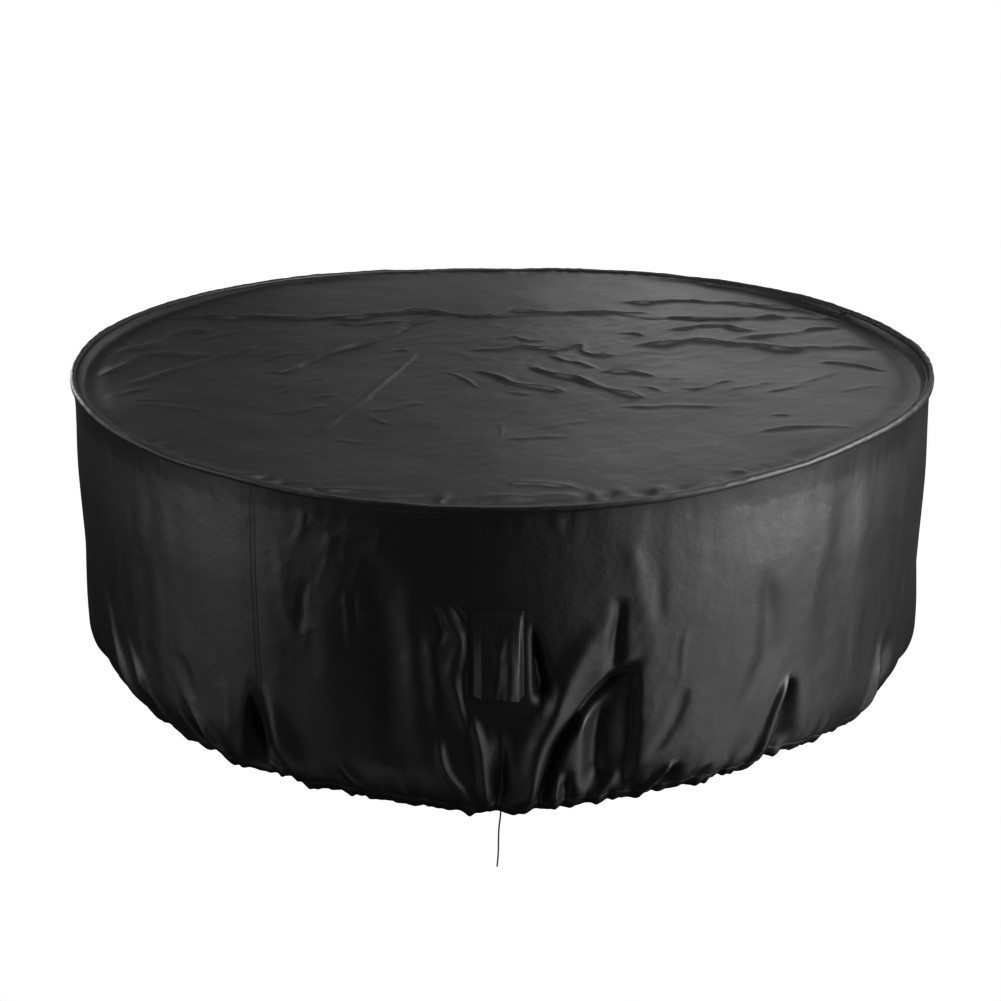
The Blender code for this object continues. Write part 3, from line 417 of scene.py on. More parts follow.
def curve_through(knots, values, slopes, here):
    """Values on the smooth curve that passes each knot with its slope, their spans, and how far along those."""
    k = np.clip(np.searchsorted(knots, here, side="right") - 1, 0, len(knots) - 2)
    run = knots[k + 1] - knots[k]
    t = np.clip((here - knots[k]) / run, 0, 1)
    bend = (t * (1 - t) ** 2 * slopes[k] + t * t * (t - 1) * slopes[k + 1]) * run
    return (1 + 2 * t) * (1 - t) ** 2 * values[k] + t * t * (3 - 2 * t) * values[k + 1] + bend, k, t


def round_table(rows, azimuth, column):
    """A column's value at each azimuth, on a smooth closed curve through the rows."""
    knots = np.array([row.azimuth for row in rows], float)
    values = np.array([getattr(row, column) for row in rows], float)
    knots = np.concatenate([knots[-2:] - 360, knots, knots[:2] + 360])
    values = np.concatenate([values[-2:], values, values[:2]])
    slopes = np.zeros_like(values)
    slopes[1:-1] = (values[2:] - values[:-2]) / (knots[2:] - knots[:-2])
    here = rows[0].azimuth + (azimuth - rows[0].azimuth) % 360.0
    return curve_through(knots, values, slopes, here)[0]


def noise(u, v, seed, round_cells=4096):
    """A smooth random field of unit cells from -1 to 1 that repeats along u after round_cells."""
    table = np.random.default_rng(seed).uniform(-1, 1, (4096, 64))
    i, j = np.floor(u).astype(int), np.floor(v).astype(int)
    fu, fv = (f**3 * (f * (6 * f - 15) + 10) for f in (u - i, v - j))
    left, right = i % round_cells, (i + 1) % round_cells
    low = table[left, j % 64] * (1 - fu) + table[right, j % 64] * fu
    high = table[left, (j + 1) % 64] * (1 - fu) + table[right, (j + 1) % 64] * fu
    return low * (1 - fv) + high * fv


def uneven_round(azimuth, depth, *fields):
    """The fields' sum on the skirt or along the rim, where they close round the whole turn."""
    total = 0
    for field in fields:
        cells = max(1, round(2 * math.pi * RIM_RADIUS / field.across))
        total = total + field.lift * noise(azimuth / 360.0 * cells, depth / field.down, field.seed, cells)
    return total


def uneven_plan(x, y, field):
    """A field on the top's plan."""
    return field.lift * noise(x / field.across + field.start, y / field.down + field.start, field.seed)


def smooth_route(points, pieces):
    """Points along a smooth curve through the given ones."""
    points = np.asarray(points, float)
    padded = np.vstack([2 * points[0] - points[1], points, 2 * points[-1] - points[-2]])
    t = (np.arange(pieces) / pieces)[:, None]
    fine = []
    for p0, p1, p2, p3 in zip(padded, padded[1:], padded[2:], padded[3:]):
        fine.append(0.5 * (2 * p1 + (p2 - p0) * t + (2 * p0 - 5 * p1 + 4 * p2 - p3) * t**2
                           + (3 * p1 - p0 - 3 * p2 + p3) * t**3))
    return np.vstack(fine + [points[-1:]])


def measured(route):
    """The steps of a route, their lengths, and how far along it each point lies."""
    steps = np.diff(route, axis=0)
    lengths = np.hypot(*steps.T)
    return steps, lengths, np.concatenate([[0], np.cumsum(lengths)])


def grid_faces(rows, columns):
    """Four-sided faces of a grid of points that are listed row by row."""
    row, column = np.meshgrid(np.arange(rows - 1), np.arange(columns - 1), indexing="ij")
    here = (row * columns + column).ravel()
    return np.column_stack([here, here + 1, here + columns + 1, here + columns])


def vertex_normals(points, faces):
    corners = points[faces]
    if faces.shape[1] == 4:
        edges = corners[:, 2] - corners[:, 0], corners[:, 3] - corners[:, 1]
    else:
        edges = corners[:, 1] - corners[:, 0], corners[:, 2] - corners[:, 0]
    normals = np.zeros_like(points)
    for k in range(faces.shape[1]):
        np.add.at(normals, faces[:, k], np.cross(*edges))
    return normals / np.linalg.norm(normals, axis=1)[:, None]


def new_object(name, data):
    obj = bpy.data.objects.new(name, data)
    bpy.context.collection.objects.link(obj)
    return obj


def new_mesh(name, points, faces, uv, material):
    """A smooth mesh. `uv` has a row for each corner of each face."""
    mesh = bpy.data.meshes.new(name)
    mesh.from_pydata(points.tolist(), [], faces)
    mesh.shade_smooth()
    layer = mesh.uv_layers.new(name="cloth")
    layer.data.foreach_set("uv", uv.astype(np.float32).ravel())
    mesh.materials.append(material)
    return mesh


def cloth_sheet(name, outer, faces, thickness, uv, material):
    """A closed thin sheet: the outer face, the inner one below it, and walls along the free edges."""
    inner = outer - vertex_normals(outer, faces) * np.broadcast_to(thickness, len(outer))[:, None]
    count, sides = len(outer), faces.shape[1]
    edges = np.concatenate([faces[:, [k, (k + 1) % sides]] for k in range(sides)])
    keys = edges[:, 0].astype(np.int64) * count + edges[:, 1]
    free = edges[~np.isin(keys, edges[:, 1].astype(np.int64) * count + edges[:, 0])]
    walls = np.column_stack([free[:, 1], free[:, 0], free[:, 0] + count, free[:, 1] + count])
    every = [faces, faces[:, ::-1] + count, walls]
    corner = np.concatenate([some.ravel() for some in every])
    all_faces = [face for some in every for face in some.tolist()]
    mesh = new_mesh(name, np.vstack([outer, inner]), all_faces, np.vstack([uv, uv])[corner], material)
    mesh.set_sharp_from_angle(angle=math.radians(60))
    return new_object(name, mesh)


# ---------------- skirt


def wall_profile(depth):
    below_rim = PIPING_RADIUS + CLOTH / 2
    bulge = BULGE * smooth((depth - BULGE_START) / BULGE_REACH)
    drawn = np.maximum(0.0, (depth - DRAW_START) / (HEM - DRAW_START))
    return below_rim - UNDERCUT * smooth(depth / UNDERCUT_REACH) + bulge - DRAW_IN * drawn**DRAW_POWER


def profile_normal(depth):
    step = 0.002
    slope = (wall_profile(depth + step) - wall_profile(depth - step)) / (2 * step)
    length = np.hypot(1.0, slope)
    return 1.0 / length, slope / length


def fold_section(azimuth, depth, centre, width, lean):
    """A fold's cross section, 1 on its line, with what the drawstring leaves of it near the hem."""
    across = np.radians(turn_between(azimuth, centre)) * RIM_RADIUS
    width = width * np.where(across > 0, 1 + lean, 1 - lean)
    held = HEM_HOLD * smooth((depth - HEM_HOLD_START) / (HEM - HEM_HOLD_START))
    return (1 - held) * bell(2 * across / width)


def fold_lift(fold, azimuth, depth):
    along = (depth - fold.top_depth) / (fold.low_depth - fold.top_depth)
    open_end = fold.low_depth >= HEM
    centre = fold.top_az + (fold.low_az - fold.top_az) * along + fold.bow * 4 * along * (1 - along)
    width = np.maximum(NARROWEST, fold.narrow + (fold.wide - fold.narrow) * along)
    inside = np.clip(along, 0, 1)
    height = smooth(inside * OPENING) if open_end else np.sin(math.pi * inside) ** ROUNDING
    height = np.where((along > 0) & ((along < 1) | open_end), height, 0.0)
    return fold.lift * height * fold_section(azimuth, depth, centre, width, fold.lean)


def run_lift(run, azimuth, depth):
    az, depths, widths = np.array(run.path, float).T
    centre, k, t = curve_through(depths, az, np.gradient(az, depths), depth)
    width = widths[k] + (widths[k + 1] - widths[k]) * t
    along = (depth - depths[0]) / (depths[-1] - depths[0])
    height = smooth(along * RUN_OPENING)
    if depths[-1] < HEM:
        height = height * smooth((1 - along) * RUN_OPENING)
    return run.lift * height * fold_section(azimuth, depth, centre, width, run.lean)


def beside_hood(azimuth, depth):
    """0 under the hood and 1 away from it, so that the cloth lies flat where the hood is sewn on."""
    clear, half_turn, fade = 0.03, 3.35, 0.8
    off_side = (np.abs(turn_between(azimuth, HOOD_AZIMUTH)) - half_turn) / fade
    off_end = np.maximum(HOOD_TOP - clear - depth, depth - HOOD_BOTTOM - clear) / clear
    return np.maximum(smooth(off_side), smooth(off_end))


def beside_tail(azimuth):
    """0 where the drawstring leaves the hem and 1 away from it."""
    clear, fade = 0.9, 0.8
    return smooth((np.abs(turn_between(azimuth, TAIL_AZIMUTH)) - clear) / fade)


def crumples(azimuth, depth):
    """Short slanting strokes, in a few places of the crumpled patches."""
    crumpled = 0
    for patch in CRUMPLED:
        aside, below = turn_between(azimuth, patch.azimuth) / patch.turn, (depth - patch.depth) / patch.drop
        crumpled = crumpled + patch.share * np.exp(-(aside**2) - below**2)
    strokes = 1 - np.abs(uneven_round(azimuth + STROKE_SLANT * depth, depth, STROKES))
    few = smooth(0.5 + uneven_round(azimuth, depth, STROKE_PLACES))
    return crumpled * few * STROKE_LIFT * (strokes**4 - STROKE_SINK)


def skirt_offset(azimuth, depth):
    """How far the cloth stands off its plain wall."""
    waver = uneven_round(azimuth, depth, *WAVER) * smooth((depth - WAVER_START) / WAVER_REACH)
    moved = azimuth + waver
    offset = sum(fold_lift(fold, moved, depth) for fold in FOLDS + FINE_FOLDS)
    winding = azimuth + RUN_WAVER * waver
    offset = offset + sum(run_lift(run, winding, depth) for run in RUNS)
    # gathers of the hem, weaker right at its edge
    gathered = bell((HEM - depth) / GATHER_REACH) * round_waves(GATHERS, azimuth)
    above = np.maximum(HEM - depth, 0)
    for reach, field in HEM_GATHERS.items():
        fade = np.exp(-((above / reach) ** GATHER_POWER)) * (1 - EDGE_EASE * bell(above / (reach * EDGE_REACH)))
        gathered = gathered + fade * uneven_round(moved, depth, field)
    offset = offset + gathered * beside_tail(azimuth)
    # soft drape all over, crumples, and puckers under the piping
    drape = uneven_round(azimuth, depth, DRAPE) + uneven_round(moved, depth, FINE_DRAPE)
    offset = offset + smooth(depth / DRAPE_REACH) * drape + crumples(azimuth, depth)
    under_rim = bell((depth - UNDER_RIM_MIDDLE) / UNDER_RIM_REACH)
    under_rim = under_rim * smooth((depth - UNDER_RIM_START) / UNDER_RIM_FADE)
    offset = offset + under_rim * uneven_round(azimuth, depth, UNDER_RIM)
    return offset * beside_hood(azimuth, depth)


def skirt_surface(azimuth, depth):
    out, up = profile_normal(depth)
    offset = skirt_offset(azimuth, depth)
    x, y = around(azimuth, wall_profile(depth) + out * offset)
    near_hem = smooth((depth - HEM + GATHER_REACH) / GATHER_REACH)
    ripple = RIPPLE_SHARE * round_waves(HEM_RIPPLES, azimuth) + uneven_round(azimuth, depth * 0, *HEM_UNEVEN)
    lowered = depth - near_hem**2 * ripple * beside_tail(azimuth)
    lowered = lowered + round_table(HEM_DROPS, azimuth, "drop") * smooth((depth - DROP_START) / (HEM - DROP_START))
    # near the hem a fold stands out more than it lifts
    rise = up * offset * (1 - LIFT_HELD * smooth((depth - LIFT_HELD_START) / LIFT_HELD_REACH))
    return np.stack([x, y, RIM_TOP - lowered + rise], axis=-1)


def piping_height(azimuth):
    return round_table(RIM, azimuth, "tall")


def rim_line(azimuth):
    """Height of the piping's centre."""
    return round_table(RIM, azimuth, "top") + round_waves(RIM_WAVES, azimuth) - piping_height(azimuth) / 2


COLUMN_MIDDLE = 4.0           # azimuth where the skirt's columns are closest
COLUMN_STEPS = ((34, 0.27), (66, 0.31), (92, 0.56), (181, 1.15))          # up to so far from it, and the step
COLUMN_LEAST = 0.1            # the last step is at least this wide
ROW_DEPTHS = (0.0265, 0.060, 0.200, 0.600, HEM - HEM_CHANNEL, HEM)
ROW_COUNTS = (8, 18, 58, 18, 8)
ROWS_TO_PIPING = 8            # rows over which the skirt runs up to the piping
HEM_BULGE, STITCH_DIP = 0.0012, 0.0008
HEM_EDGE, STITCH_WIDTH = 0.004, 0.003
HEM_THICKER = 0.0025          # what the turned hem adds to the sheet


def skirt_columns(start, end):
    """Azimuths from start to end: close together over the front, wider round the back."""
    azimuths, here = [], start
    while here < end:
        azimuths.append(here)
        away = abs(turn_between(here, COLUMN_MIDDLE))
        here += next(step for reach, step in COLUMN_STEPS if away < reach)
    return np.array([a for a in azimuths if end - a > COLUMN_LEAST] + [end])


def skirt_rows():
    """Depths from under the piping to the hem."""
    spans = zip(ROW_DEPTHS, ROW_DEPTHS[1:], ROW_COUNTS)
    return np.concatenate([np.linspace(a, b, n, endpoint=False) for a, b, n in spans] + [[HEM]])


def skirt_sheet(name, start, end, material):
    inset = math.degrees(SEAM_GAP / 2 / PIPING_RADIUS)
    azimuths, depths = skirt_columns(start + inset, end - inset), skirt_rows()
    A, D = np.meshgrid(azimuths, depths, indexing="ij")
    points = skirt_surface(A, D)
    # the turned hem is thicker, with its stitching drawn in above it
    below_stitching = D - HEM + HEM_CHANNEL
    in_hem = smooth(below_stitching / HEM_EDGE)
    x, y = around(A, HEM_BULGE * in_hem - STITCH_DIP * bell(below_stitching / STITCH_WIDTH))
    points[..., 0] += x
    points[..., 1] += y
    # the highest row meets the underside of the piping
    top = rim_line(azimuths) - piping_height(azimuths) / 2 - SEAM_GAP
    first = np.stack([*around(azimuths, PIPING_RADIUS + SHEET / 2), top], axis=-1)
    for row in range(ROWS_TO_PIPING):
        share = smooth(row / ROWS_TO_PIPING)
        points[:, row] = first * (1 - share) + points[:, row] * share
    uv = np.stack([np.radians(A) * RIM_RADIUS, D], axis=-1).reshape(-1, 2)
    thickness = (SHEET + HEM_THICKER * in_hem).ravel()
    return cloth_sheet(name, points.reshape(-1, 3), grid_faces(*A.shape), thickness, uv, material)


# ---------------- top


def crease_rise(crease, x, y):
    """Height that one crease adds to the top: a thin ridge, steeper on its near side, in a shallow trough."""
    route = smooth_route(crease.route, 6)
    steps, lengths, begins = measured(route)
    (left, low), (right, high) = route.min(axis=0) - CREASE_NEAR, route.max(axis=0) + CREASE_NEAR
    near = (x > left) & (x < right) & (y > low) & (y < high)
    x_near, y_near = x[near], y[near]
    px, py = (here + uneven_plan(x_near, y_near, field) for here, field in zip((x_near, y_near), CREASE_WANDER))
    best, where, behind = np.full(px.shape, 1e9), np.zeros_like(px), np.zeros_like(px)
    for start, step, length, begin in zip(route, steps, lengths, begins):
        t = np.clip(((px - start[0]) * step[0] + (py - start[1]) * step[1]) / length**2, 0, 1)
        dx, dy = px - start[0] - t * step[0], py - start[1] - t * step[1]
        away = np.hypot(dx, dy)
        closer = away < best
        best = np.where(closer, away, best)
        where = np.where(closer, begin + t * length, where)
        # 1 behind the crease as seen from the front, -1 before it
        behind = np.where(closer, np.sign((step[0] * dy - step[1] * dx) * (1 if step[0] > 0 else -1)), behind)
    total = begins[-1]
    share = where / total
    ends = next(ends for least, ends in CREASE_ENDS if total > least)
    fade = smooth(share * ends) * smooth((1 - share) * ends)
    wave = np.sin(share * WAVE_TURNS + crease.route[0][0] * WAVE_START)
    swell = 1 + CREASE_WAVE * wave + uneven_plan(px, py, CREASE_SWELL)
    sideways = abs(route[-1] - route[0])[0] / np.hypot(*(route[-1] - route[0]))
    width = crease.width * least_and(CROSS_WIDTH, sideways) * least_and(MIDDLE_WIDTH, fade)
    width = width * np.where(behind > 0, FAR_SIDE, NEAR_SIDE)
    ridge = np.exp(-((2 * best / width) ** RIDGE_POWER)) - TROUGH_SHARE * bell(TROUGH_WIDTH * best / width)
    rise = np.zeros_like(x)
    rise[near] = crease.lift * least_and(CROSS_HEIGHT, sideways) * fade * swell * ridge * RIDGE_SHARE
    return rise


def seam_line(x):
    """How far back the top's seam lies at an x."""
    xs, shifts = np.array(SEAM_SHIFTS, float).T
    k = np.clip(np.searchsorted(xs, x, side="right") - 1, 0, len(xs) - 2)
    share = smooth((x - xs[k]) / (xs[k + 1] - xs[k]))
    return TOP_SEAM_Y + shifts[k] + (shifts[k + 1] - shifts[k]) * share


def open_rise(x, y):
    """Height of the top away from the rim: creases, swells, fine slanting creases and the seam."""
    rise = sum(crease_rise(crease, x, y) for crease in CREASES)
    for swell in SWELLS:
        rise = rise + swell.rise * smooth(1 - np.hypot(x - swell.x, y - swell.y) / swell.radius)
    rise = rise + uneven_plan(x, y, TOP_SOFT) + uneven_plan(x, y + TOP_SLANT * x, TOP_SLANTED)
    # fine creases that run slantwise, most of them on the right
    u, v = x * FINE_COS + y * FINE_SIN, y * FINE_COS - x * FINE_SIN
    fine = (1 - np.abs(uneven_plan(u, v, TOP_FINE))) ** 4
    busy = np.exp(-(((x - BUSY_X) / BUSY_WIDE) ** 2) - ((y - BUSY_Y) / BUSY_DEEP) ** 2)
    rise = rise + TOP_FINE_LIFT * fine * (TOP_FINE_LEAST + busy)
    # the seam stands a little proud, with the cloth drawn in beside it
    from_seam = y - seam_line(x)
    rise = rise + SEAM_RIDGE * bell((from_seam - SEAM_RIDGE_BACK) / SEAM_RIDGE_WIDTH)
    return rise + bell((np.abs(from_seam) - SEAM_DRAWN_OFF) / SEAM_DRAWN_WIDTH) * uneven_plan(x, y, SEAM_DRAWN)


def rim_puckers(azimuth, radius, lip):
    """A shallow trough beside the lip, with the puckers and bubbles that run in from the piping."""
    inwards = TOP_RADIUS - radius
    height = -LIP_TROUGH * lip * bell((LIP_REACH + TROUGH_OFF - inwards) / TROUGH_REACH)
    beside = smooth((PUCKER_REACH - inwards) / PUCKER_FADE) * smooth(inwards / RIM_FADE)
    calm = 1 - CALM_SHARE * smooth((lip - CALM_LIP) / CALM_FADE)
    busy = PUCKER_LEAST + np.abs(uneven_round(azimuth, radius * 0, PUCKER_PLACES))
    busy = busy + bell((azimuth - PUCKERED_AZIMUTH) / PUCKERED_TURN)
    height = height + PUCKER_LIFT * beside * uneven_round(azimuth, radius, *RIM_PUCKERS) * busy * calm
    for bubble in RIM_BUBBLES:
        away = turn_between(azimuth, bubble.azimuth) / bubble.turn
        into = (bubble.inset + bubble.slant * away - inwards) / bubble.reach
        shape = np.exp(-((away**2 + into**2) ** BUBBLE_POWER))
        height = height + bubble.lift * shape * smooth(inwards / BUBBLE_FADE)
    return height


def top_height(x, y):
    """Height of the top's upper face."""
    azimuth, radius = np.degrees(np.arctan2(x, -y)), np.hypot(x, y)
    lip = round_table(RIM, azimuth, "lip")
    sewn_edge = rim_line(azimuth) + SHEET / 2
    rise = open_rise(x, y) + (sewn_edge - CLOTH - lip) * smooth((radius - RISE_START) / RISE_REACH)
    turn = np.abs(azimuth)
    reach = LIP_REACH * (0.5 + 0.5 * smooth((SIDE_TURN - turn) / SIDE_FADE))
    reach = reach + BACK_REACH * smooth((turn - BACK_TURN) / BACK_FADE)
    climb = smooth((radius - (TOP_RADIUS - reach)) / (reach - SEAM_ALLOWANCE / 2))
    return CLOTH + rise + (sewn_edge - CLOTH - rise) * climb + rim_puckers(azimuth, radius, lip)


def nearest(points, others):
    """How far each point is from the nearest of the others."""
    tree = KDTree(len(others))
    for k, (x, y) in enumerate(others):
        tree.insert((x, y, 0), k)
    tree.balance()
    return np.array([tree.find((x, y, 0))[2] for x, y in points])


PITCH = 0.0118                # spacing of the top's points away from its creases
EDGE_PITCH = PITCH * 0.8
TRIANGLE = 0.866              # height of an even triangle of side 1
RING_INSETS = (0.005, 0.0105, 0.017, 0.024, 0.032, 0.041, 0.050)
CREASE_ROWS = np.array([0.0, -0.0035, 0.0035, -0.0075, 0.0080, -0.0125, 0.0140, 0.0215, -0.0190])
CREASE_STEP = 0.0085          # spacing of the points along a crease
CREASE_CLEAR = 0.0032         # between the rows of two creases
RING_PITCH, RING_WIDENING = 0.0062, 0.0003


def crease_points():
    """Close rows of points along the creases."""
    lines = np.empty((0, 2))
    for crease in CREASES:
        route = smooth_route(crease.route, 24)
        begins = measured(route)[2]
        even = np.linspace(0, begins[-1], max(4, round(begins[-1] / CREASE_STEP)))
        middle = np.column_stack([np.interp(even, begins, route[:, k]) for k in (0, 1)])
        along = np.gradient(middle, axis=0)
        sideways = np.column_stack([-along[:, 1], along[:, 0]]) / np.hypot(*along.T)[:, None]
        sideways = sideways * (1 if route[-1, 0] > route[0, 0] else -1)
        band = (middle[:, None] + sideways[:, None] * CREASE_ROWS[None, :, None]).reshape(-1, 2)
        if len(lines):
            band = band[nearest(band, lines) > CREASE_CLEAR]
        lines = np.vstack([lines, band])
    return lines[np.hypot(*lines.T) < TOP_RADIUS - RING_INSETS[-1] - 0.003]


def top_points():
    """Points inside the top: rings beside the piping, an even grid, and the creases' rows in the grid's place."""
    rings = []
    for ring, inset in enumerate(RING_INSETS):
        count = round(2 * math.pi * TOP_RADIUS / (RING_PITCH + RING_WIDENING * ring))
        turns = (np.arange(count) + 0.5 * (ring % 2)) * 360.0 / count
        rings.append(np.column_stack(around(turns, TOP_RADIUS - inset)))
    rows = int(TOP_RADIUS / (PITCH * TRIANGLE)) + 1
    column, row = np.meshgrid(np.arange(-rows * 2, rows * 2 + 1), np.arange(-rows, rows + 1))
    grid = np.column_stack([((column + 0.5 * (row % 2)) * PITCH).ravel(), (row * PITCH * TRIANGLE).ravel()])
    grid = grid[np.hypot(*grid.T) < TOP_RADIUS - RING_INSETS[-1] - PITCH * 0.7]
    lines = crease_points()
    return np.vstack(rings + [grid[nearest(grid, lines) > PITCH * 0.55], lines])


def seam_end(side):
    """x where the seam meets the top's edge, on the side of -1 or 1."""
    shift = SEAM_SHIFTS[0 if side < 0 else -1].shift
    return side * math.sqrt(TOP_RADIUS**2 - (TOP_SEAM_Y + shift) ** 2)


def top_sheet(name, side, inside, material):
    """One panel of the top, in front of the seam (-1) or behind it (1)."""
    left, right = seam_end(-1), seam_end(1)
    xs = np.linspace(left, right, round((right - left) / EDGE_PITCH) + 1)
    seam = np.column_stack([xs, seam_line(xs) + side * SEAM_GAP / 2])
    start, end = (math.degrees(math.atan2(x, -float(seam_line(x)))) for x in (right, left))
    arc = (start, end + 360) if side > 0 else (start, end)
    steps = round(math.radians(abs(arc[1] - arc[0])) * TOP_RADIUS / EDGE_PITCH)
    rim = np.column_stack(around(np.linspace(*arc, steps + 1), TOP_RADIUS))
    outline = np.vstack([seam, rim[1:-1]])[::side]
    inside = inside[(inside[:, 1] - seam_line(inside[:, 0])) * side > PITCH * 0.55]
    points = [Vector(p) for p in np.vstack([outline, inside]).tolist()]
    flat, _, faces, *_ = delaunay_2d_cdt(points, [], [list(range(len(outline)))], 1, 1e-7)
    flat, faces = np.array([tuple(p) for p in flat]), np.array([list(face) for face in faces])
    outer = np.column_stack([flat, top_height(*flat.T)])
    return cloth_sheet(name, outer, faces, SHEET, flat, material)


# ---------------- piping

STATIONS, SIDES = 1100, 14
TWIST = 0.45                  # degrees of azimuth in each radian round the roll
PUCKERED, PUCKERS = 0.09, [Field(0.017, 1, 51, 1), Field(0.034, 1, 52, 0.6)]
SQUASHED = Field(0.11, 1, 53, 0.14)
FLATTENED, UPRIGHT = 0.8, 0.9             # powers that square the roll's sides and its top
PIPING_OVER = 0.0012          # how far its puckers may rise above its line
BINDING_WIDTH = 0.062         # of its cloth, as it is cut


def piping_ring(name, material):
    """The rim's binding: an upright flattened roll, twisted and puckered by its sewing."""
    k, i = np.meshgrid(np.arange(STATIONS), np.arange(SIDES), indexing="ij")
    A, T = k * 360.0 / STATIONS, 2 * math.pi * i / SIDES
    swell = 1 + PUCKERED * uneven_round(A + TWIST * T, T * 0, *PUCKERS)
    squash = 1 + uneven_round(A, T * 0, SQUASHED)
    sine, cosine, half = np.sin(T), np.cos(T), piping_height(A) / 2
    across = PIPING_WIDTH / 2 * np.sign(sine) * np.abs(sine) ** FLATTENED * swell
    upright = half * np.sign(cosine) * np.abs(cosine) ** UPRIGHT * np.where(cosine > 0, swell * squash, 1)
    x, y = around(A, PIPING_RADIUS + across)
    points = np.stack([x, y, rim_line(A) + np.minimum(upright, half + PIPING_OVER)], axis=-1).reshape(-1, 3)
    there, j = (k + 1) % STATIONS, (i + 1) % SIDES
    faces = np.stack([k * SIDES + i, k * SIDES + j, there * SIDES + j, there * SIDES + i], axis=-1).reshape(-1, 4)
    u = np.stack([k, k, k + 1, k + 1], axis=-1) * 2 * math.pi * PIPING_RADIUS / STATIONS
    v = np.stack([i, i + 1, i + 1, i], axis=-1) * BINDING_WIDTH / SIDES
    return new_object(name, new_mesh(name, points, faces.tolist(), np.stack([u, v], axis=-1), material))


# ---------------- vent hood

# Shares across half the hood where the front, its rounded edge, the gusset, its root and the flange begin or end.
HOOD_KNOTS = [0.0, 0.66, 0.72, 0.88, 0.92, 1.0]
HOOD_DOWN, HOOD_ACROSS = 57, 73           # its rows and columns of points
HOOD_LEFT = 0.84              # width of its left half, as a share of the right one's
HOOD_CORNER, HOOD_ROOT = 0.003, 0.002     # the size of its soft corners, and how far its root is outside its width
HOOD_TAPER = 0.002            # the front narrows and the root widens by this towards the bottom
HOOD_STANDS = (0.15, 0.85)    # share of its stand at the top, and what it gains down to the bottom
HOOD_LOWER = 0.5              # the left side stands out less by this share
HOOD_BELLY, HOOD_SAG = 0.004, 0.003
HOOD_DENTS = ((0.0016, 2.2, 3.0, 61), (0.0007, 6, 6, 62))
HOOD_HEM = 0.0012             # what its hem adds to the sheet


def across_hood(place, values):
    """Values at the knots, joined by straight lines."""
    result = np.zeros_like(place)
    for a, b, va, vb in zip(HOOD_KNOTS, HOOD_KNOTS[1:], values, values[1:]):
        result = np.where((place >= a) & (place <= b), va + (vb - va) * (place - a) / (b - a), result)
    return result


def hood_sheet(name, material):
    """Front panel and gussets in one sheet, with soft corners, open at the bottom."""
    flat = SEAM_GAP + SHEET + 0.0002
    # two rows more, of flange, above the hood's top
    shares = np.concatenate([[-0.04, -0.02], np.linspace(0, 1, HOOD_DOWN)])
    S, T = np.meshgrid(shares, np.linspace(-1, 1, HOOD_ACROSS), indexing="ij")
    H, place = np.clip(S, 0, 1), np.abs(T)
    half = (HOOD_WIDTH / 2 - HOOD_CORNER - HOOD_TAPER * H) * np.where(T < 0, HOOD_LEFT, 1.0)
    root = HOOD_WIDTH / 2 + HOOD_ROOT + HOOD_TAPER * H
    stand = flat + (HOOD_STAND - flat) * smooth(least_and(HOOD_STANDS, H)) * smooth(H / 0.03)
    sideways = across_hood(place, [0 * half, half * 0.97, half, root - 0.0005, root, root + HOOD_FLANGE]) * np.sign(T)
    lower = 1 - HOOD_LOWER * smooth((0.30 - T) / 0.96)
    off = across_hood(place, [stand, stand, stand - HOOD_CORNER * H, flat + 0.0006, flat, flat])
    off = flat + (off - flat) * lower
    # the right half bellies out beside a soft groove
    groove = HOOD_CREASE * smooth(H * 2) * bell((T + 0.02 - 0.05 * np.sin(4 * H)) / 0.16)
    belly = HOOD_BELLY * smooth(H * 1.5) * bell((T - 0.40) / 0.20)
    dents = sum(lift * noise(T * across + 9, H * down + 9, seed) for lift, across, down, seed in HOOD_DENTS)
    shaped = (belly - groove) * smooth(H * 3) + dents * smooth(H * 4)
    off = off + shaped * smooth((HOOD_KNOTS[2] - place) * 9)
    depth = HOOD_TOP + (HOOD_BOTTOM - HOOD_TOP) * S
    azimuth = HOOD_AZIMUTH + np.degrees(sideways / wall_profile(depth))
    x, y = around(azimuth, wall_profile(depth) + off)
    sag = HOOD_SAG * smooth(H) * np.sin(3.5 * T + 0.6)
    points = np.stack([x, y, RIM_TOP - depth + sag], axis=-1).reshape(-1, 3)
    thickness = (SHEET + HOOD_HEM * smooth((H - 0.90) / 0.02)).ravel()
    uv = np.stack([T * 0.09, depth], axis=-1).reshape(-1, 2)
    return cloth_sheet(name, points, grid_faces(*S.shape)[:, [0, 3, 2, 1]], thickness, uv, material)


# ---------------- drawstring tail

TAIL_ROOT = (-0.0030, -1.0072, -0.7065)
# Where the tail runs sideways, every 10 mm down.
TAIL_BENDS = [
    (0, 0), (-.0003, -.0003), (-.0012, -.0008), (-.0024, -.0013), (-.0034, -.0015), (-.0041, -.0014),
    (-.0045, -.0010), (-.0047, -.0005), (-.0048, .0002), (-.0049, .0008), (-.0051, .0012), (-.0055, .0014),
    (-.0061, .0013), (-.0069, .0010), (-.0079, .0006),
]


def hanging_cord(name, material):
    """The drawstring's free end."""
    route = [(x, y, -k / 100) for k, (x, y) in enumerate(TAIL_BENDS)]
    points = np.array(TAIL_ROOT) + smooth_route(route, 3)
    curve = bpy.data.curves.new(name, "CURVE")
    curve.dimensions = "3D"
    curve.bevel_depth = TAIL_DIAMETER / 2
    curve.bevel_resolution = 4
    curve.use_fill_caps = True
    spline = curve.splines.new("POLY")
    spline.points.add(len(points) - 1)
    for target, point in zip(spline.points, points):
        target.co = (*point, 1)
    curve.materials.append(material)
    return new_object(name, curve)


# ---------------- materials


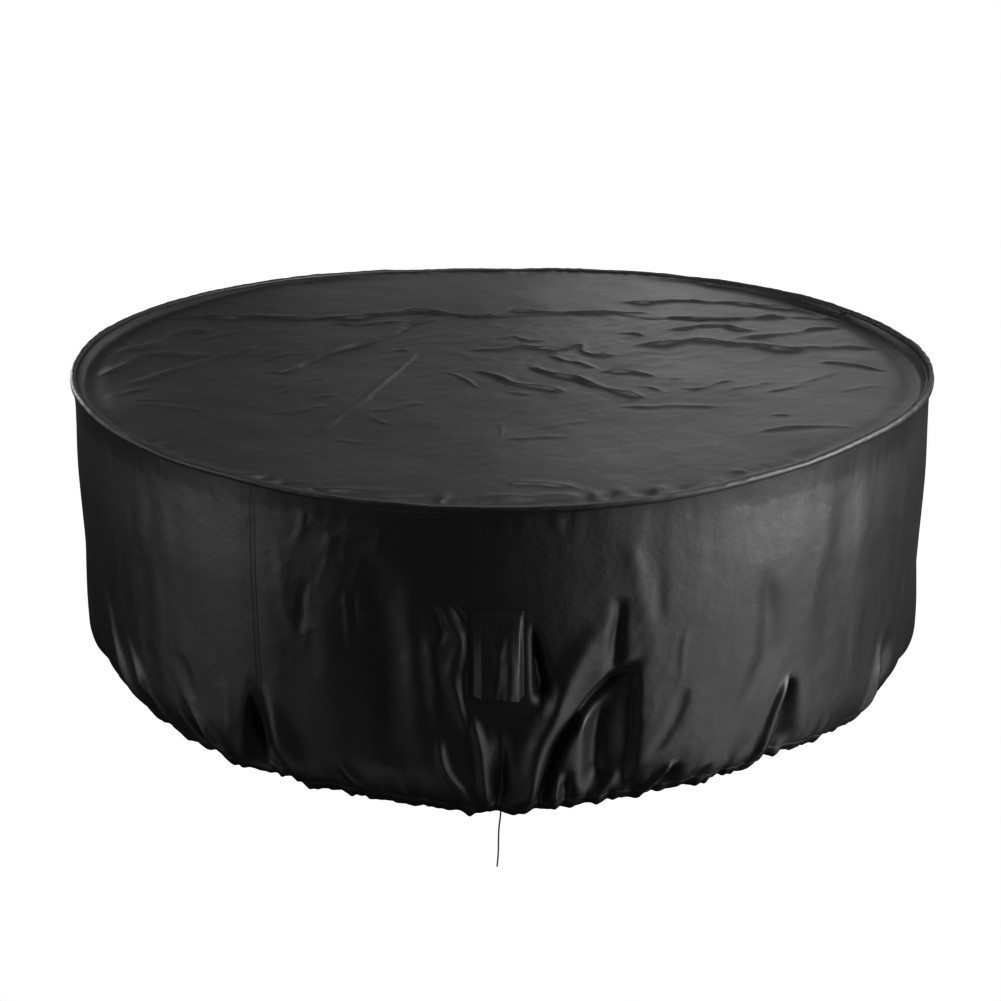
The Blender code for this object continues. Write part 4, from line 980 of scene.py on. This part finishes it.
class Value:
    """A socket of a node tree. Sums on it add their Math nodes, and node() adds any other kind."""

    def __init__(self, tree, socket=None):
        self.tree, self.socket = tree, socket

    def fill(self, node, inputs, output=0):
        """An output of a node, after its sockets are set to values or links."""
        for title, given in inputs.items():
            if isinstance(given, Value):
                self.tree.links.new(given.socket, node.inputs[title])
            else:
                node.inputs[title].default_value = given
        return Value(self.tree, node.outputs[output] if node.outputs else None)

    def node(self, kind, settings, inputs, output=0):
        """An output of a new node. Its settings are set first."""
        node = self.tree.nodes.new(kind)
        for title, setting in settings.items():
            setattr(node, title, setting)
        return self.fill(node, inputs, output)

    def out(self, title):
        """Another output of the same node."""
        return Value(self.tree, self.socket.node.outputs[title])

    def __add__(self, other):
        return self.node("ShaderNodeMath", {"operation": "ADD"}, {0: self, 1: other})

    def __mul__(self, other):
        return self.node("ShaderNodeMath", {"operation": "MULTIPLY"}, {0: self, 1: other})

    __radd__, __rmul__ = __add__, __mul__

    def sine(self):
        return self.node("ShaderNodeMath", {"operation": "SINE"}, {0: self})


WEAVE, WEAVE_SHARE = 0.0012, 0.03         # width of a pair of threads, and their share of the relief
CRINKLES = ((110.0, 3.0, 0.35), (34.0, 3.0, 1.0), (9.0, 2.0, 2.5))        # scale, detail and share of the relief
GRAIN = 0.55                  # roughness of every texture
WORN, MOTTLED = 0.10, 0.30    # by how much the coating's roughness and its grey vary


def fabric(name, grey, roughness, crinkled, specular=0.5):
    """Coated woven polyester: near black, with a fine weave and soft crinkles."""
    material = bpy.data.materials.new(name)
    material.use_nodes = True
    base = Value(material.node_tree)
    place = base.node("ShaderNodeTexCoord", {}, {}, "Object")
    across = base.node("ShaderNodeSeparateXYZ", {}, {"Vector": base.node("ShaderNodeUVMap", {"uv_map": "cloth"}, {})})

    def texture(scale, detail):
        sizes = {"Vector": place, "Scale": scale, "Detail": detail, "Roughness": GRAIN}
        return base.node("ShaderNodeTexNoise", {}, sizes, "Fac")

    turn = 2 * math.pi / WEAVE
    weave = (across * turn).sine() * (across.out("Y") * turn).sine() * WEAVE_SHARE
    first, *rest = [texture(scale, detail) * (share * crinkled) for scale, detail, share in CRINKLES]
    height = weave + sum(rest, first)
    bump = base.node("ShaderNodeBump", {}, {"Strength": 1.0, "Distance": 0.001, "Height": height})
    # a slightly uneven coating
    worn = texture(5.0, 3.0) * WORN + (roughness - WORN / 2)
    shaded = (texture(16.0, 4.0) * MOTTLED + (1 - MOTTLED / 2)) * grey
    colour = base.node("ShaderNodeCombineColor", {}, {"Red": shaded, "Green": shaded, "Blue": shaded})
    base.fill(
        material.node_tree.nodes["Principled BSDF"],
        {"Specular IOR Level": specular, "Normal": bump, "Roughness": worn, "Base Color": colour},
    )
    return material


# ---------------- stitches

STITCH = {"Pitch": 0.0065, "Length": 0.0045, "Thread radius": 0.0005}
STITCH_OUT = 0.0004           # how far a thread's middle stands off the cloth
HEM_ROW = 0.686               # depth of the drawstring channel's row
HEM_SPANS = ((-28, 150), (152, 330))
SEAM_ASIDE = 0.30             # degrees from a skirt seam to its rows
SEAM_DEPTHS = np.linspace(0.03, 0.700, 180)
TOP_SEAM_ASIDE, TOP_SEAM_HALF = 0.006, 0.93


def stitch_tree(material):
    """Short threads set in a row along each line of the mesh, and the identifiers of the tree's sizes."""
    tree = bpy.data.node_groups.new("stitches", "GeometryNodeTree")
    add_socket = tree.interface.new_socket
    add_socket("Geometry", in_out="INPUT", socket_type="NodeSocketGeometry")
    sizes = {title: add_socket(title, in_out="INPUT", socket_type="NodeSocketFloat").identifier for title in STITCH}
    add_socket("Geometry", in_out="OUTPUT", socket_type="NodeSocketGeometry")
    given = Value(tree).node("NodeGroupInput", {}, {}, "Geometry")
    curve = given.node("GeometryNodeMeshToCurve", {}, {"Mesh": given})
    even = given.node(
        "GeometryNodeResampleCurve", {"mode": "LENGTH"}, {"Curve": curve, "Length": given.out("Pitch")}
    )
    shape = {"Vertices": 5, "Radius": given.out("Thread radius"), "Depth": given.out("Length")}
    thread = given.node("GeometryNodeMeshCylinder", {}, shape, "Mesh")
    along = given.node("GeometryNodeInputTangent", {}, {})
    turn = given.node("FunctionNodeAlignRotationToVector", {"axis": "Z"}, {"Vector": along})
    spread = given.node(
        "GeometryNodeInstanceOnPoints", {}, {"Points": even, "Instance": thread, "Rotation": turn}
    )
    real = given.node("GeometryNodeRealizeInstances", {}, {"Geometry": spread})
    painted = given.node("GeometryNodeSetMaterial", {}, {"Geometry": real, "Material": material})
    given.node("NodeGroupOutput", {}, {"Geometry": painted})
    return tree, sizes


def stitch_rows(name, rows, material):
    edges, first = [], 0
    for row in rows:
        edges += [(first + k, first + k + 1) for k in range(len(row) - 1)]
        first += len(row)
    mesh = bpy.data.meshes.new(name + "_rows")
    mesh.from_pydata(np.vstack(rows).tolist(), edges, [])
    guide = new_object(name + "_rows", mesh)
    tree, sizes = stitch_tree(material)
    modifier = guide.modifiers.new("stitches", "NODES")
    modifier.node_group = tree
    for title, size in STITCH.items():
        modifier[sizes[title]] = size
    done = bpy.data.meshes.new_from_object(guide.evaluated_get(bpy.context.evaluated_depsgraph_get()))
    bpy.data.objects.remove(guide, do_unlink=True)
    return new_object(name, done)


def skirt_row(azimuths, depths):
    azimuths, depths = np.broadcast_arrays(azimuths, depths)
    out = np.stack([*around(azimuths, 1.0), azimuths * 0], axis=-1)
    return skirt_surface(azimuths, depths) + STITCH_OUT * out


def top_row(inset):
    xs = np.linspace(-TOP_SEAM_HALF, TOP_SEAM_HALF, 500)
    ys = seam_line(xs) + inset
    return np.column_stack([xs, ys, top_height(xs, ys) + STITCH_OUT])


# ---------------- pieces

cloth = fabric("coated_polyester", 0.014, 0.42, 0.90)
binding = fabric("piping_polyester", 0.014, 0.50, 0.60, 0.45)
cord_cloth = fabric("braided_cord", 0.035, 0.75, 0.20)

skirt_right = skirt_sheet("skirt_right_cloth", FRONT_SEAM, REAR_SEAM, cloth)
skirt_left = skirt_sheet("skirt_left_cloth", REAR_SEAM, 360.0 + FRONT_SEAM, cloth)
points_of_top = top_points()
top_main = top_sheet("top_main_cloth", -1, points_of_top, cloth)
top_rear = top_sheet("top_rear_cloth", 1, points_of_top, cloth)
piping = piping_ring("rim_binding", binding)
hood = hood_sheet("vent_hood_cloth", cloth)
tail = hanging_cord("drawstring_tail_cord", cord_cloth)

stitching = stitch_rows(
    "stitching",
    [skirt_row(seam + side * SEAM_ASIDE, SEAM_DEPTHS) for seam in (FRONT_SEAM, REAR_SEAM) for side in (-1, 1)]
    + [skirt_row(np.linspace(*ends, 900), HEM_ROW) for ends in HEM_SPANS]
    + [top_row(side * TOP_SEAM_ASIDE) for side in (-1, 1)],
    fabric("sewing_thread", 0.014, 0.45, 0.0),
)

for piece, node, slot in (
    (skirt_right, "skirt_right", "cover_cloth"),
    (skirt_left, "skirt_left", "cover_cloth"),
    (top_main, "top_main", "cover_cloth"),
    (top_rear, "top_rear", "cover_cloth"),
    (piping, "rim_piping", "rim_binding"),
    (hood, "vent_hood", "cover_cloth"),
    (tail, "drawstring_tail", "drawstring_cord"),
):
    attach(piece, "root")
    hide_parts(node)

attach(stitching, "root")

# ---------------- camera and light

CAMERA_BACK = 4.216           # from the middle
CAMERA_UP = 1.188             # above the plain rim
CAMERA_DOWN = 20.61           # degrees below level

scene = bpy.context.scene
camera = new_object("camera", bpy.data.cameras.new("camera"))
camera.location = (0.0, -CAMERA_BACK, RIM_TOP + CAMERA_UP)
camera.rotation_euler = (math.radians(90 - CAMERA_DOWN), 0, 0)
camera.data.lens = 61.82
camera.data.sensor_width = 36
camera.data.shift_x = -0.0016
scene.camera = camera

LAMP_DISTANCE = 5
LAMP_CENTRE = -0.1            # height of the middle of the ring of lamps
LAMP_TARGET = (0, 0, -0.2)

# Square soft boxes round the cover: azimuth from the front, height in degrees, width, power.
Lamp = namedtuple("Lamp", "name azimuth height size power")
for lamp in [
    Lamp("key_right", 80, 25, 4.2, 650),
    Lamp("right_side", 80, 8, 3.0, 160),
    Lamp("right_front", 60, 8, 2.8, 335),
    Lamp("overhead", 0, 88, 5.0, 540),
    Lamp("left_front", -60, 8, 2.8, 172),
    Lamp("left_side", -80, 8, 2.2, 50),
    Lamp("left_back", -100, 8, 2.2, 55),
    Lamp("rear_left", -135, 8, 2.2, 125),
    Lamp("rear_right", 135, 8, 2.2, 12),
    Lamp("rear_high", 165, 20, 2.2, 25),
    Lamp("rear_low", 180, 16, 2.2, 8),
    Lamp("rear_low_right", 158, 10, 2.2, 9),
    Lamp("rear_low_left", -165, 12, 2.2, 6),
    Lamp("floor_front", 38, -20, 2.2, 84),
    Lamp("floor_side", 70, -20, 2.2, 36),
    Lamp("floor_right", 70, -45, 2.2, 52),
    Lamp("floor_left", -70, -20, 2.2, 35),
    Lamp("floor_low", -35, -45, 2.2, 28),
]:
    light = bpy.data.lights.new(lamp.name, "AREA")
    light.size, light.energy = lamp.size, lamp.power
    box = new_object(lamp.name, light)
    up = math.radians(lamp.height)
    x, y = around(lamp.azimuth, LAMP_DISTANCE * math.cos(up))
    box.location = (x, y, LAMP_DISTANCE * math.sin(up) + LAMP_CENTRE)
    box.rotation_euler = (Vector(LAMP_TARGET) - box.location).to_track_quat("-Z", "Y").to_euler()

# The camera sees plain white behind the cover, and the world gives no light.
WHITE = (1, 1, 1, 1)
scene.world = bpy.data.worlds.new("world")
scene.world.use_nodes = True
sky = Value(scene.world.node_tree)
lit = sky.fill(sky.tree.nodes["Background"], {"Color": WHITE, "Strength": 0.0})
seen = sky.node("ShaderNodeBackground", {}, {"Color": WHITE, "Strength": 1.0})
by_camera = sky.node("ShaderNodeLightPath", {}, {}, "Is Camera Ray")
mixed = sky.node("ShaderNodeMixShader", {}, {"Fac": by_camera, 1: lit, 2: seen})
sky.fill(sky.tree.nodes["World Output"], {"Surface": mixed})

scene.view_settings.view_transform = "Standard"
scene.view_settings.look = "None"
scene.view_settings.gamma = 0.6
